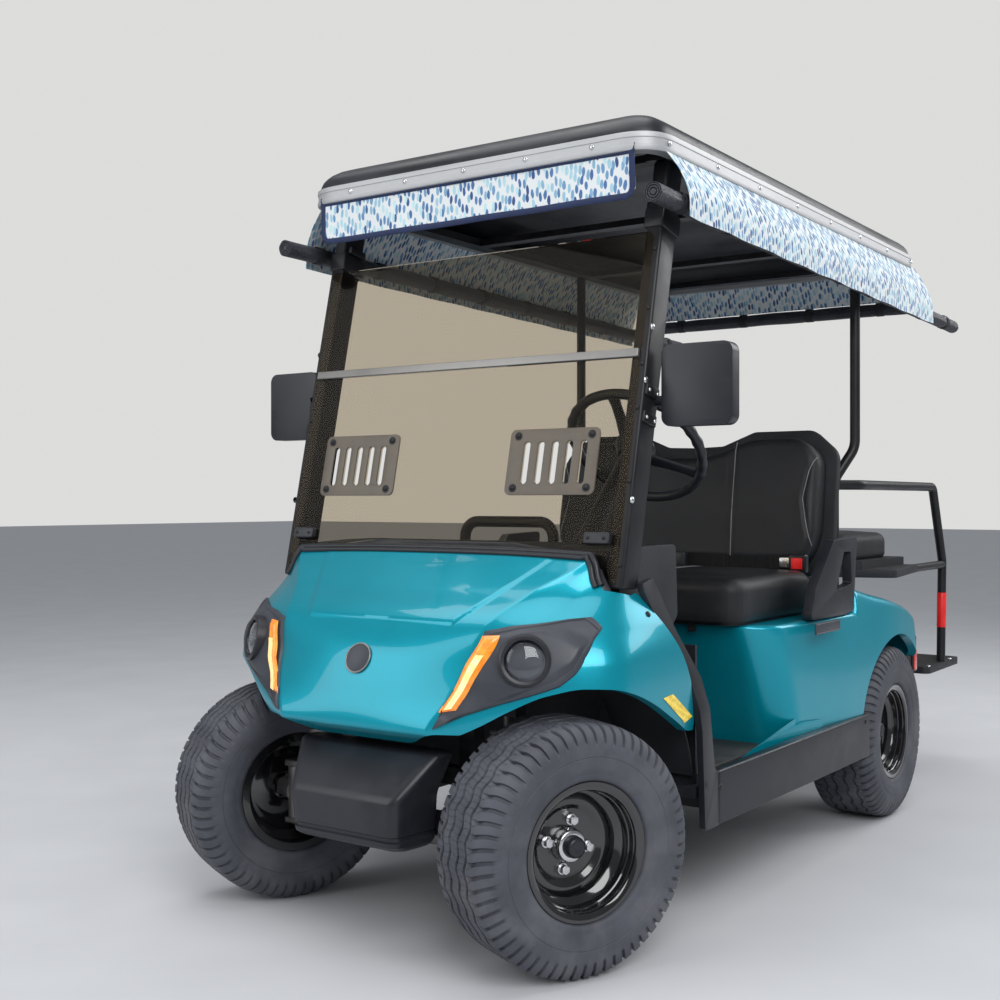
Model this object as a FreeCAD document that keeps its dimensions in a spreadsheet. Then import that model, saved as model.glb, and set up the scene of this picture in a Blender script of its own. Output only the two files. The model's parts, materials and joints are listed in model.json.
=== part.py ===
import FreeCAD, Part
import math
import os
import re
from FreeCAD import Placement, Rotation, Vector

# Two-row golf cart with a canopy, a folding rear seat and rolled side curtains.
# X points forward, Y to the left side and Z up. The origin is on the ground under the
# middle of the bounding box. Stations called "at x" below are measured from the front axle.
# Each row is: name, value in millimetres or degrees, what it sets.
SIZES = [
    ("front_axle_x", 1146.1, "front axle ahead of the origin"),
    ("wheelbase", 1640.0, "front axle to rear axle"),
    ("front_track", 870.0, "between front tyre centres, wheels straight"),
    ("rear_track", 980.0, "between rear tyre centres"),
    ("kingpin_y", 360.0, "steering pivot from the middle plane"),
    ("steer_angle", 25.0, "front wheels turned to the right as parked"),
    ("tyre_radius", 260.0, "rolling radius"),
    ("tyre_half_width", 103.0, "widest half section"),
    ("tread_half_width", 78.0, "half of the tread band"),
    ("bead_radius", 127.0, "bead seat of the rim"),
    ("flange_radius", 142.0, "edge of the rim flange"),
    ("rim_half_width", 89.0, "half of the rim"),
    ("rim_wall", 4.0, "sheet of the rim"),
    ("disc_offset", 5.0, "wheel disc outside the tyre centre"),
    ("disc_thickness", 6.0, "wheel disc sheet"),
    ("hub_bore", 33.0, "centre hole of the wheel disc, radius"),
    ("lug_circle", 50.8, "lug nut circle, radius"),
    ("lug_hole", 6.5, "lug hole, radius"),
    ("kingpin_radius", 10.0, "kingpin"),
    ("pin_clearance", 0.05, "radial clearance of a turning pin"),
    ("knuckle_half_height", 62.0, "knuckle block above and below the axle"),
    ("lug_plate", 14.0, "thickness of the axle end lugs"),
    ("side_gap", 1.0, "gap between a turning part and its lug"),
    ("beam_radius", 22.0, "front axle beam"),
    ("beam_drop", 43.0, "beam below the wheel centre"),
    ("spindle_radius", 14.0, "front spindle"),
    ("rail_y", 170.0, "middle of a frame rail"),
    ("rail_width", 40.0, "frame rail width"),
    ("rail_height", 60.0, "frame rail height"),
    ("rail_bottom", 240.0, "underside of the frame rails"),
    ("floor_bottom", 300.0, "underside of the floor pan"),
    ("floor_thickness", 24.0, "floor pan"),
    ("mat_thickness", 8.0, "floor mat"),
    ("panel_wall", 4.0, "moulded body panels"),
    ("body_half_width", 600.0, "rear fenders"),
    ("sill_y", 553.0, "inner face of the rocker panels"),
    ("cowl_half_width", 562.0, "front fenders"),
    ("screen_x", -108.0, "windshield foot, at x"),
    ("screen_z", 850.0, "windshield foot height"),
    ("screen_lean", 12.7, "windshield leans back, degrees"),
    ("pane_thickness", 5.0, "windshield panes"),
    ("pane_half_width", 480.0, "windshield panes"),
    ("rail_station", 455.0, "cross rail along the screen"),
    ("strut_y", 476.0, "middle of a front strut"),
    ("strut_width", 40.0, "front strut across"),
    ("strut_depth", 72.0, "front strut fore and aft"),
    ("pillar_y", 500.0, "rear pillars and rear seat rails"),
    ("pillar_radius", 15.0, "rear pillars and rear seat tubes"),
    ("pillar_x", -1550.0, "rear pillars, at x"),
    ("roof_bottom", 1742.0, "underside of the drip rail"),
    ("gutter_height", 43.0, "drip rail"),
    ("gutter_width", 30.0, "drip rail"),
    ("roof_half_width", 520.0, "over the drip rail"),
    ("roof_front", -195.0, "drip rail front, at x"),
    ("roof_rear", -2077.0, "drip rail rear, at x"),
    ("roof_corner", 100.0, "drip rail corners"),
    ("roof_rise", 75.0, "crown above the drip rail"),
    ("roof_wall", 12.0, "roof skin"),
    ("seat_front", -735.0, "seat cushion front, at x"),
    ("seat_rear", -1262.0, "seat cushion rear, at x"),
    ("seat_bottom", 645.0, "underside of the seat cushion"),
    ("seat_top", 778.0, "top of the seat cushion"),
    ("seat_half_width", 475.0, "seat cushion"),
    ("seat_hinge_front", -776.0, "seat lid hinge, at x"),
    ("hinge_pin", 4.0, "lid hinge pins, radius"),
    ("hinge_drop", 14.0, "hinge lines below the boards that they carry"),
    ("pan_thickness", 10.0, "seat pan board"),
    ("soft_gap", 0.3, "soft parts clear their neighbours"),
    ("wheel_x", -584.0, "steering wheel centre, at x"),
    ("wheel_y", 260.0, "steering wheel centre"),
    ("wheel_z", 1105.0, "steering wheel centre"),
    ("column_rise", 44.0, "column above the horizontal, degrees"),
    ("wheel_radius", 175.0, "steering wheel rim, tube centre"),
    ("grip_radius", 13.0, "steering wheel rim tube"),
    ("column_length", 400.0, "column from wheel hub to dash"),
    ("column_radius", 26.0, "column shroud"),
    ("lamp_radius", 54.0, "headlamp lens"),
    ("shaft_radius", 11.0, "steering shaft"),
    ("deck_top", 752.0, "rear deck"),
    ("deck_thickness", 25.0, "rear deck"),
    ("seat_hinge_x", -2100.0, "rear seat flips about this line, at x"),
    ("board_thickness", 25.0, "rear seat board"),
    ("rear_cushion_height", 92.0, "rear seat cushion"),
    ("footplate_top", 390.0, "rear footplate"),
    ("footplate_rear", -2590.0, "rear footplate, at x"),
    ("tie_hole", 8.0, "tie-down holes of the footplate, radius"),
    ("rear_rail_z", 1016.0, "rear grab rail"),
]

doc = FreeCAD.newDocument("golf_cart")
sheet = doc.addObject("Spreadsheet::Sheet", "sizes")
for row, (name, value, note) in enumerate(SIZES, start=1):
    sheet.set(f"A{row}", note)
    sheet.set(f"B{row}", str(value))
    sheet.setAlias(f"B{row}", name)
doc.recompute()


class Sizes:
    pass


s = Sizes()
for name, value, note in SIZES:
    setattr(s, name, float(sheet.get(name)))

nodes = []


WORD = re.compile(r"\b(?!sin\b|cos\b|deg\b)[a-z][a-z_0-9]*")


def bound(text):
    return WORD.sub(lambda word: "sizes." + word.group(0), text)


def fx(station):
    return s.front_axle_x + station


def keep(name, item):
    item.Label = name
    nodes.append(item)
    return item


def corner_arc(before, corner, after, radius):
    a = (before - corner).normalize()
    b = (after - corner).normalize()
    half = a.getAngle(b) / 2
    reach = radius / math.tan(half)
    start = corner + a * reach
    end = corner + b * reach
    middle_direction = (a + b).normalize()
    centre = corner + middle_direction * (radius / math.sin(half))
    return start, centre - middle_direction * radius, end


def outline(points):
    corners = [Vector(p[0], p[1], 0) for p in points]
    count = len(corners)
    pieces = []
    ends = []
    for i, point in enumerate(points):
        if len(point) > 2 and point[2] > 0:
            start, middle, end = corner_arc(corners[i - 1], corners[i], corners[(i + 1) % count], point[2])
            ends.append((start, end, Part.Arc(start, middle, end)))
        else:
            ends.append((corners[i], corners[i], None))
    for i in range(count):
        if ends[i][2] is not None:
            pieces.append(ends[i][2])
        leave = ends[i][1]
        arrive = ends[(i + 1) % count][0]
        if (leave - arrive).Length > 1e-6:
            pieces.append(Part.LineSegment(leave, arrive))
    return pieces


def plane_of(body, role):
    return [item for item in body.Origin.OriginFeatures if item.Role == role][0]


def sketch_in(body, name, plane, loops, offset=None):
    sketch = body.newObject("Sketcher::SketchObject", name)
    sketch.AttachmentSupport = [(plane_of(body, plane + "_Plane"), "")]
    sketch.MapMode = "FlatFace"
    for points in loops:
        for piece in outline(points):
            sketch.addGeometry(piece, False)
    if offset is not None:
        sketch.setExpression(".AttachmentOffset.Base.z", offset)
    return sketch


def prism(name, plane, loops, low, high):
    """A pad of one closed outline, with holes, between two heights along the plane's normal."""
    if isinstance(loops[0][0], (int, float)):
        loops = [loops]
    body = doc.addObject("PartDesign::Body", name)
    offset = f"-({bound(high)})" if plane == "XZ" else bound(low)
    sketch = sketch_in(body, name + "_outline", plane, loops, offset)
    pad = body.newObject("PartDesign::Pad", name + "_pad")
    pad.Profile = sketch
    pad.setExpression("Length", f"({bound(high)}) - ({bound(low)})")
    return body


def layers(name, sections, hollow=None, ruled=True, plane="XY"):
    """A loft through outlines at rising heights, with an optional loft cut out of it."""
    body = doc.addObject("PartDesign::Body", name)
    for kind, rows in (("AdditiveLoft", sections), ("SubtractiveLoft", hollow)):
        if rows is None:
            continue
        sketches = []
        for i, (height, points) in enumerate(rows):
            sketches.append(sketch_in(body, f"{name}_{kind}_{i}", plane, [points], str(height)))
        loft = body.newObject("PartDesign::" + kind, f"{name}_{kind}")
        loft.Profile = sketches[0]
        loft.Sections = sketches[1:]
        loft.Ruled = ruled
    return body


def revolved(name, points):
    """A ring about the Y axis: points are (along the axis, radius)."""
    body = doc.addObject("PartDesign::Body", name)
    sketch = sketch_in(body, name + "_profile", "XY", [[(p[1], p[0]) + tuple(p[2:]) for p in points]])
    turn = body.newObject("PartDesign::Revolution", name + "_turn")
    turn.Profile = sketch
    axis = [item for item in body.Origin.OriginFeatures if item.Role == "Y_Axis"][0]
    turn.ReferenceAxis = (axis, [""])
    turn.Angle = 360
    return body


def rod(name, start, end, radius):
    """A round bar between two points, its radius given by an expression."""
    bar = doc.addObject("Part::Cylinder", name)
    bar.setExpression("Radius", bound(radius))
    along = Vector(*end) - Vector(*start)
    bar.Height = along.Length
    bar.Placement = Placement(Vector(*start), Rotation(Vector(0, 0, 1), along))
    return bar


def tube(name, points, bend, radius):
    """A bent round tube through points, each bend a tangent arc."""
    corners = [Vector(*p) for p in points]
    edges = []
    last = corners[0]
    for i in range(1, len(corners) - 1):
        start, middle, end = corner_arc(corners[i - 1], corners[i], corners[i + 1], bend)
        edges.append(Part.LineSegment(last, start).toShape())
        edges.append(Part.Arc(start, middle, end).toShape())
        last = end
    edges.append(Part.LineSegment(last, corners[-1]).toShape())
    path = doc.addObject("Part::Feature", name + "_path")
    path.Shape = Part.Wire(edges)
    ring = doc.addObject("Part::Circle", name + "_ring")
    ring.setExpression("Radius", bound(radius))
    ring.Placement = Placement(corners[0], Rotation(Vector(0, 0, 1), corners[1] - corners[0]))
    sweep = doc.addObject("Part::Sweep", name)
    sweep.Sections = [ring]
    sweep.Spine = (path, [f"Edge{i + 1}" for i in range(len(edges))])
    sweep.Solid = True
    sweep.Frenet = True
    return sweep


def cut(name, base, tool):
    item = doc.addObject("Part::Cut", name)
    item.Base = base
    item.Tool = tool
    return item


def common(name, *shapes):
    item = doc.addObject("Part::MultiCommon", name)
    item.Shapes = list(shapes)
    return item


def fuse(name, *shapes):
    item = doc.addObject("Part::MultiFuse", name)
    item.Shapes = list(shapes)
    item.Refine = True
    return item


def group(name, *shapes):
    item = doc.addObject("Part::Compound", name)
    item.Links = list(shapes)
    return item


def mirrored(name, source):
    item = doc.addObject("Part::Mirroring", name)
    item.Source = source
    item.Normal = Vector(0, 1, 0)
    item.Base = Vector(0, 0, 0)
    return item


def pair(name, source):
    return group(name, source, mirrored(name + "_right", source))


def soften(name, base, radius, pick):
    """Rounds the picked edges of a finished solid."""
    doc.recompute()
    item = doc.addObject("Part::Fillet", name)
    item.Base = base
    item.Edges = [(i + 1, radius, radius) for i, edge in enumerate(base.Shape.Edges) if pick(edge)]
    return item


def lies_at(edge, axis, value, slack=0.5):
    box = edge.BoundBox
    low = getattr(box, axis + "Min")
    high = getattr(box, axis + "Max")
    return abs(low - value) < slack and abs(high - value) < slack


def placed(name, source, x, y, z, axis, angle):
    item = group(name, source)
    item.Placement = Placement(Vector(0, 0, 0), Rotation(axis, 0.0))
    item.setExpression("Placement.Base.x", bound(x))
    item.setExpression("Placement.Base.y", bound(y))
    item.setExpression("Placement.Base.z", bound(z))
    item.Placement.Rotation = Rotation(axis, angle)
    return item


def mirror_y(points):
    return [(-p[0],) + tuple(p[1:]) for p in reversed(points)]


def box_outline(a0, a1, b0, b1, radius=0.0):
    return [(a0, b0, radius), (a1, b0, radius), (a1, b1, radius), (a0, b1, radius)]


# Wheels: a low road tyre on a deep steel rim, four lug nuts, a silver hub and a dust cap.
w = s.tyre_half_width
bead_y = s.rim_half_width - s.rim_wall
tyre_shape = revolved(
    "tyre_shape",
    [
        (-bead_y + 0.3, s.bead_radius),
        (bead_y - 0.3, s.bead_radius),
        (bead_y - 0.3, s.flange_radius + 1),
        (bead_y + 7, s.flange_radius + 3, 4),
        (w, s.tyre_radius - 72, 40),
        (w - 4, s.tyre_radius - 30, 12),
        (s.tread_half_width, s.tyre_radius - 2, 6),
        (0, s.tyre_radius),
        (-s.tread_half_width, s.tyre_radius - 2, 6),
        (-w + 4, s.tyre_radius - 30, 12),
        (-w, s.tyre_radius - 72, 40),
        (-bead_y - 7, s.flange_radius + 3, 4),
        (-bead_y + 0.3, s.flange_radius + 1),
    ],
)
outer = s.bead_radius - s.soft_gap
drop = outer - 20
t = s.rim_wall
h = s.rim_half_width
rim_barrel = revolved(
    "rim_barrel",
    [
        (-h, s.flange_radius),
        (-h, outer - t),
        (-50, outer - t),
        (-38, drop - t),
        (38, drop - t),
        (50, outer - t),
        (h, outer - t),
        (h, s.flange_radius),
        (h - t, s.flange_radius),
        (h - t, outer),
        (48, outer),
        (36, drop),
        (-36, drop),
        (-48, outer),
        (-h + t, outer),
        (-h + t, s.flange_radius),
    ],
)
d0 = s.disc_offset
d1 = s.disc_offset + s.disc_thickness
rim_disc = revolved(
    "rim_disc",
    [
        (d0, s.hub_bore),
        (d1, s.hub_bore),
        (d1, 72),
        (d1 + 10, 84),
        (d1 + 10, drop - t + 1),
        (d0 + 4, drop - t + 1),
        (d0 + 4, 88),
        (d0, 76),
    ],
)
lug_holes = []
for i in range(4):
    angle = math.radians(12 + 90 * i)
    x = s.lug_circle * math.cos(angle)
    z = s.lug_circle * math.sin(angle)
    lug_holes.append(rod(f"lug_hole_{i}", (x, d0 - 5, z), (x, d1 + 5, z), "lug_hole"))
rim_plain = fuse("rim_plain", rim_barrel, rim_disc)
rim_shape = cut("rim_shape", rim_plain, group("lug_holes", *lug_holes))
hub_shape = revolved(
    "hub_shape",
    [
        (d0 - 12, s.spindle_radius + s.pin_clearance),
        (d0 - 12, 64),
        (d0, 64),
        (d0, s.hub_bore - 0.5),
        (d1 + 20, s.hub_bore - 2.5),
        (d1 + 24, 22),
        (d1 + 44, 22, 4),
        (d1 + 44, 0),
        (d1 + 24, 0),
        (d1 + 24, s.spindle_radius + s.pin_clearance),
    ],
)
wheel_shape = group("wheel_shape", rim_shape, hub_shape)

half_front = s.front_track / 2 - s.kingpin_y
for side, sign, turn in (("left", 1, 0.0), ("right", -1, 180.0)):
    swing = math.radians(s.steer_angle)
    x = f"front_axle_x + {sign} * (front_track / 2 - kingpin_y) * sin(steer_angle * 1 deg)"
    y = f"{sign} * kingpin_y + {sign} * (front_track / 2 - kingpin_y) * cos(steer_angle * 1 deg)"
    for part_name, shape in (("tyre", tyre_shape), ("wheel", wheel_shape)):
        item = placed(f"{part_name}_front_{side}", shape, x, y, "tyre_radius", Vector(0, 0, 1), turn - s.steer_angle)
        keep(item.Name, item)
        item = placed(
            f"{part_name}_rear_{side}",
            shape,
            "front_axle_x - wheelbase",
            f"{sign} * rear_track / 2",
            "tyre_radius",
            Vector(0, 0, 1),
            turn,
        )
        keep(item.Name, item)

# Front axle: a round beam with an eyed fork at each end, and a turning knuckle in each fork.
beam_z = s.tyre_radius - s.beam_drop
fork_top = s.knuckle_half_height + s.side_gap
fork = prism(
    "fork",
    "XZ",
    box_outline(fx(-20), fx(20), s.tyre_radius - fork_top - s.lug_plate, s.tyre_radius + fork_top + s.lug_plate, 6),
    "kingpin_y - 60",
    "kingpin_y + 20",
)
fork_gap = prism(
    "fork_gap",
    "XZ",
    box_outline(fx(-30), fx(30), s.tyre_radius - fork_top, s.tyre_radius + fork_top),
    "kingpin_y - 34",
    "kingpin_y + 30",
)
pin_hole = rod(
    "pin_hole",
    (fx(0), s.kingpin_y, s.tyre_radius - 200),
    (fx(0), s.kingpin_y, s.tyre_radius + 200),
    "kingpin_radius + pin_clearance",
)
fork_open = cut("fork_open", cut("fork_slot", fork, fork_gap), pin_hole)
beam = rod("beam", (fx(0), -s.kingpin_y + 50, beam_z), (fx(0), s.kingpin_y - 50, beam_z), "beam_radius")
arm_points = [
    (fx(-24), beam_z - 12),
    (fx(24), beam_z - 12),
    (fx(24), s.rail_bottom),
    (fx(-24), s.rail_bottom),
]
saddle = prism("saddle", "XZ", arm_points, "rail_y - rail_width / 2", "rail_y + rail_width / 2")
keep("front_axle", fuse("front_axle", beam, fork_open, mirrored("fork_right", fork_open), saddle, mirrored("saddle_right", saddle)))

k = s.knuckle_half_height
knuckle_block = rod("knuckle_block", (0, 0, -k), (0, 0, k), "kingpin_radius + 10")
kingpin = rod("kingpin", (0, 0, -k - s.side_gap - s.lug_plate), (0, 0, k + s.side_gap + s.lug_plate), "kingpin_radius")
spindle = rod("spindle", (0, 0, 0), (0, half_front + d1 + 20, 0), "spindle_radius")
spindle_root = rod("spindle_root", (0, 0, 0), (0, half_front + d0 - 13, 0), "spindle_radius + 12")
knuckle_shape = fuse("knuckle_shape", knuckle_block, kingpin, spindle, spindle_root)
knuckle_left_shape = group("knuckle_left_shape", knuckle_shape)
for side, sign, turn in (("left", 1, 0.0), ("right", -1, 180.0)):
    item = placed(
        f"knuckle_{side}",
        knuckle_left_shape,
        "front_axle_x",
        f"{sign} * kingpin_y",
        "tyre_radius",
        Vector(0, 0, 1),
        turn - s.steer_angle,
    )
    keep(item.Name, item)

# Frame: two rails that kick up over the rear axle, and cross members.
rail_low = s.rail_bottom
rail_top = s.rail_bottom + s.rail_height
rear_axle_x = -s.wheelbase
rail_side = [
    (fx(100), rail_low),
    (fx(100), rail_top),
    (fx(rear_axle_x + 250), rail_top, 30),
    (fx(rear_axle_x + 170), rail_top + 90, 30),
    (fx(-2210), rail_top + 90),
    (fx(-2210), rail_low + 90),
    (fx(rear_axle_x + 200), rail_low + 90, 30),
    (fx(rear_axle_x + 280), rail_low, 30),
]
rail = prism("rail", "XZ", rail_side, "rail_y - rail_width / 2", "rail_y + rail_width / 2")
crosses = []
for i, (station, lift) in enumerate(((80, 0), (-330, 0), (-900, 0), (-1300, 0), (-1450, 90), (-1860, 90), (-2190, 90))):
    crosses.append(
        prism(
            f"cross_{i}",
            "XZ",
            box_outline(fx(station - 20), fx(station + 20), rail_low + lift + 8, rail_top + lift - 8),
            "0 - rail_y",
            "rail_y",
        )
    )
outriggers = []
for i, station in enumerate((-420, -860, -1280)):
    outriggers.append(
        prism(
            f"outrigger_{i}",
            "XZ",
            box_outline(fx(station - 18), fx(station + 18), rail_low + 20, rail_top),
            "rail_y",
            "sill_y",
        )
    )
deck_post = prism("deck_post", "XY", box_outline(fx(-1950), fx(-1910), s.rail_y - 20, s.rail_y + 20), "rail_bottom + rail_height + 90", "deck_top - deck_thickness")
tower = prism(
    "tower",
    "YZ",
    [(150, rail_top), (190, rail_top), (190, 470), (230, 505), (300, 505), (300, 525), (150, 525)],
    "front_axle_x - 20",
    "front_axle_x + 20",
)
one_side = outriggers + [deck_post, tower, rail]
other_side = [mirrored(item.Name + "_right", item) for item in one_side]
keep("frame_rails", fuse("frame_rails", *crosses, *one_side, *other_side))
shock_parts = [
    rod("shock_rod", (fx(0), 265, beam_z + s.beam_radius + 0.1), (fx(0), 265, 505), "shaft_radius - 2"),
    rod("shock_spring", (fx(0), 265, 290), (fx(0), 265, 470), "column_radius - 2"),
    rod("shock_foot", (fx(0), 265, beam_z + s.beam_radius + 0.1), (fx(0), 265, 262), "column_radius - 8"),
]
shock = fuse("shock", *shock_parts)
keep("front_shocks", pair("front_shocks", shock))

# Rear axle with brake drums, standing under the rails on two coil shocks.
axle_tube = rod("axle_tube", (fx(rear_axle_x), -400, s.tyre_radius), (fx(rear_axle_x), 400, s.tyre_radius), "pillar_radius + 15")
half_rear = s.rear_track / 2
drum = rod("drum", (fx(rear_axle_x), 398, s.tyre_radius), (fx(rear_axle_x), half_rear + d0 - 14, s.tyre_radius), "lug_circle + 30")
stub = rod("stub", (fx(rear_axle_x), 398, s.tyre_radius), (fx(rear_axle_x), half_rear + d1 + 20, s.tyre_radius), "spindle_radius")
gearbox = rod("gearbox", (fx(rear_axle_x), -95, s.tyre_radius), (fx(rear_axle_x), 95, s.tyre_radius), "lug_circle + 38")
rear_pad = prism("rear_pad", "XZ", box_outline(fx(rear_axle_x - 30), fx(rear_axle_x + 30), s.tyre_radius + 10, rail_low + 90), "rail_y - rail_width / 2", "rail_y + rail_width / 2")
keep("rear_axle", fuse("rear_axle", axle_tube, drum, mirrored("drum_right", drum), stub, mirrored("stub_right", stub), gearbox, rear_pad, mirrored("rear_pad_right", rear_pad)))

# Floor pan with a raised toe board, and a rubber mat.
floor_top = s.floor_bottom + s.floor_thickness
floor_flat = prism("floor_flat", "XZ", box_outline(fx(-895), fx(-320), s.floor_bottom, floor_top), "0 - sill_y", "sill_y")
toe_side = [(fx(-335), floor_top), (fx(-315), floor_top), (fx(-205), 640), (fx(-225), 640)]
toe_board = prism("toe_board", "XZ", toe_side, "0 - 344", "344 + 0")
kick = prism("kick", "XZ", box_outline(fx(-366), fx(-358), floor_top, 640), "344 + 0", "sill_y - 16")
kick_side = prism("kick_side", "XZ", [(fx(-366), floor_top), (fx(-315), floor_top), (fx(-205), 640), (fx(-366), 640)], "336 + 0", "344 + 0")
floor_sides = [kick, kick_side]
keep("floor_pan", fuse("floor_pan", floor_flat, toe_board, *floor_sides, *[mirrored(item.Name + "_right", item) for item in floor_sides]))
mat_side = box_outline(fx(-860), fx(-372), floor_top, floor_top + s.mat_thickness)
keep("floor_mat", prism("floor_mat", "XZ", mat_side, "0 - cowl_half_width + 60", "cowl_half_width - 60"))

# Front cowl: plan outlines at rising heights, hollow and open underneath.
COWL = [
    # height, front x, crease (x, y), lamp (x, y), side (x, y), rear y
    (455, 168, (162, 210), (110, 300), (-60, 528), 556),
    (490, 216, (211, 205), (150, 320), (-40, 540), 561),
    (560, 204, (180, 238), (128, 370), (-30, 548), 562),
    (628, 184, (147, 259), (105, 385), (-35, 545), 560),
    (700, 134, (115, 281), (62, 400), (-70, 522), 548),
    (771, 34, (22, 338), (-36, 424), (-110, 490), 512),
    (820, -36, (-51, 400), (-82, 430), (-135, 458), 470),
    (853, -84, (-92, 345), (-112, 380), (-150, 404), 410),
    (868, -102, (-108, 190), (-125, 230), (-155, 260), 266),
]


def cowl_points(row, inset):
    z, front, crease, lamp, side, rear = row
    half = [
        (fx(front - inset), 0),
        (fx(crease[0] - inset), crease[1] - inset * 0.5, 16),
        (fx(lamp[0] - inset), lamp[1] - inset, 50),
        (fx(side[0] - inset), side[1] - inset, 50),
        (fx(-420), rear - inset),
    ]
    other = [(p[0], -p[1]) + tuple(p[2:]) for p in reversed(half[1:])]
    return half + other


cowl_outer = [(row[0], cowl_points(row, 0)) for row in COWL]
cowl_inner = [(row[0] - s.panel_wall, cowl_points(row, s.panel_wall + 1)) for row in COWL]
cowl_inner[0] = (COWL[0][0] - 20, cowl_points(COWL[0], s.panel_wall + 1))
cowl_block = layers("cowl_block", cowl_outer, cowl_inner)
cowl_side = [
    (fx(300), 450),
    (fx(300), 900),
    (fx(-150), 900),
    (fx(-150), 775),
    (fx(-296), 562),
    (fx(-322), 450),
]
cowl_keep = prism("cowl_keep", "XZ", cowl_side, "0 - body_half_width - 20", "body_half_width + 20")
lean_axis = Vector(0, 1, 0)
sheet_lean = -s.screen_lean
bead_width = 13
foot_cut = prism("foot_cut", "XZ", box_outline(-160, 5.3 + bead_width, -78, 80), "0 - strut_y - strut_width / 2 - 1", "strut_y + strut_width / 2 + 1")
foot_room = placed("foot_room", foot_cut, "front_axle_x + screen_x", "0 * screen_x", "screen_z", lean_axis, sheet_lean)
arch_y = s.body_half_width + 40
arch_cut = rod("arch_cut", (fx(-42), 225, 300), (fx(-42), arch_y, 300), "tyre_radius + 53")
arch_cuts = pair("arch_cuts", arch_cut)
bezel_side = [(fx(208), 488), (fx(109), 708), (fx(-20), 722, 10), (fx(-32), 700, 10), (fx(60), 586, 20)]
marker_side = [(fx(194), 520), (fx(115), 692), (fx(101), 693), (fx(174), 534)]
bezel_prism = prism("bezel_prism", "XZ", bezel_side, "214 + 0", "body_half_width + 0")
bezel_room = prism(
    "bezel_room",
    "XZ",
    [(fx(209.5), 487), (fx(109.5), 709.5), (fx(-20), 723.5, 10), (fx(-34), 700, 10), (fx(59.5), 584.5, 20)],
    "213 + 0",
    "body_half_width + 0",
)
marker_prism = prism("marker_prism", "XZ", marker_side, "214 + 0", "body_half_width + 0")
lamp_y = 382
lamp_z = 641
lens = rod("lens", (fx(86), lamp_y, lamp_z), (fx(132), lamp_y, lamp_z), "lamp_radius")
lens_room = rod("lens_room", (fx(20), lamp_y, lamp_z), (fx(200), lamp_y, lamp_z), "lamp_radius + soft_gap")
cowl_shell = cut("cowl_shell", common("cowl_body", cowl_block, cowl_keep), group("cowl_tools", arch_cuts, foot_room))
keep("front_cowl", cut("front_cowl", cowl_shell, pair("bezel_rooms", bezel_room)))
bezel_skin = common("bezel_skin", cowl_shell, bezel_prism)
marker = common("marker", cowl_shell, marker_prism)
marker_room = prism(
    "marker_room",
    "XZ",
    [(fx(195.5), 518.5), (fx(115.5), 693.5), (fx(99), 694.5), (fx(172.5), 533)],
    "213 + 0",
    "body_half_width + 0",
)
bezel = cut("bezel", bezel_skin, group("bezel_tools", lens_room, marker_room))
keep("lamp_bezels", pair("lamp_bezels", bezel))
keep("marker_lamps", pair("marker_lamps", marker))
keep("headlamps", pair("headlamps", lens))
liner_ring = cut(
    "liner_ring",
    rod("liner_outer", (fx(-42), 344, 300), (fx(-42), 538, 300), "tyre_radius + 53 - soft_gap"),
    rod("liner_inner", (fx(-42), 300, 300), (fx(-42), 600, 300), "tyre_radius + 48"),
)
liner_side = [(fx(-400), 345), (fx(-180), 345), (fx(-42), 300), (fx(150), 460), (fx(300), 460), (fx(300), 700), (fx(-400), 700)]
liner_keep = prism("liner_keep", "XZ", liner_side, "300 + 0", "body_half_width + 0")
liner_plan = [(fx(-400), 344), (fx(60), 344), (fx(40), 405), (fx(-40), 505), (fx(-90), 528), (fx(-400), 535)]
liner_reach = prism("liner_reach", "XY", liner_plan, "0 * lamp_radius", "screen_z")
keep("fender_liners", pair("fender_liners", common("liner", liner_ring, liner_keep, liner_reach)))

# Bumper: a tapered hollow moulding under the nose.
BUMPER = [(229, 214, 137), (245, 240, 148), (338, 246, 153), (352, 238, 158), (437, 160, 200)]


def bumper_points(front, half, inset):
    return [
        (fx(100.3 if inset == 0 else 80), -half - 12 + inset),
        (fx(front - inset), -half + inset, 18),
        (fx(front - inset), half - inset, 18),
        (fx(100.3 if inset == 0 else 80), half + 12 - inset),
    ]


bumper_outer = [(z, bumper_points(front, half, 0)) for z, front, half in BUMPER]
bumper_inner = [(z, bumper_points(front, half, s.panel_wall + 1)) for z, front, half in BUMPER[1:-1]]
keep("front_bumper", layers("front_bumper", bumper_outer, bumper_inner))

# Fender straps and rocker panels along the sills.
strap_side = [
    (fx(-150), 790),
    (fx(-198), 800, 8),
    (fx(-350), 570),
    (fx(-385), 352, 20),
    (fx(-400), 352),
    (fx(-400), 228),
    (fx(-330), 228, 10),
    (fx(-322.3), 450),
    (fx(-296.3), 562),
    (fx(-150.3), 775),
]
strap_block = prism("strap_block", "XZ", strap_side, "cowl_half_width - 90", "cowl_half_width + 30")
strap_band = prism(
    "strap_band",
    "YZ",
    [(499, 800), (514, 800), (530, 680), (572, 500), (576, 228), (562, 228), (556, 500), (515, 680)],
    "front_axle_x - 500",
    "front_axle_x",
)
strap = common("strap", strap_block, strap_band)
keep("fender_straps", pair("fender_straps", strap))
rocker_plan = [
    (fx(-400), s.sill_y),
    (fx(-400), 577),
    (fx(-1370), 596, 6),
    (fx(-1370), s.sill_y),
]
rocker = prism("rocker", "XY", rocker_plan, "floor_bottom - 72", "floor_bottom + 52")
keep("rockers", pair("rockers", rocker))

# Rear body: seat base and rear fenders in one hollow moulding.
BODY = [
    # height, front x, then outside the seat cushion: nose, near the front and middle, then inside the fenders: widest, rear
    (324, -880, 25, 73, 110, 0, 10),
    (480, -838, 25, 70, 107, 0, 10),
    (640, -790, 15, 57, 91, 12, 25),
    (730, -770, 5, 40, 70, 40, 55),
]


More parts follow.
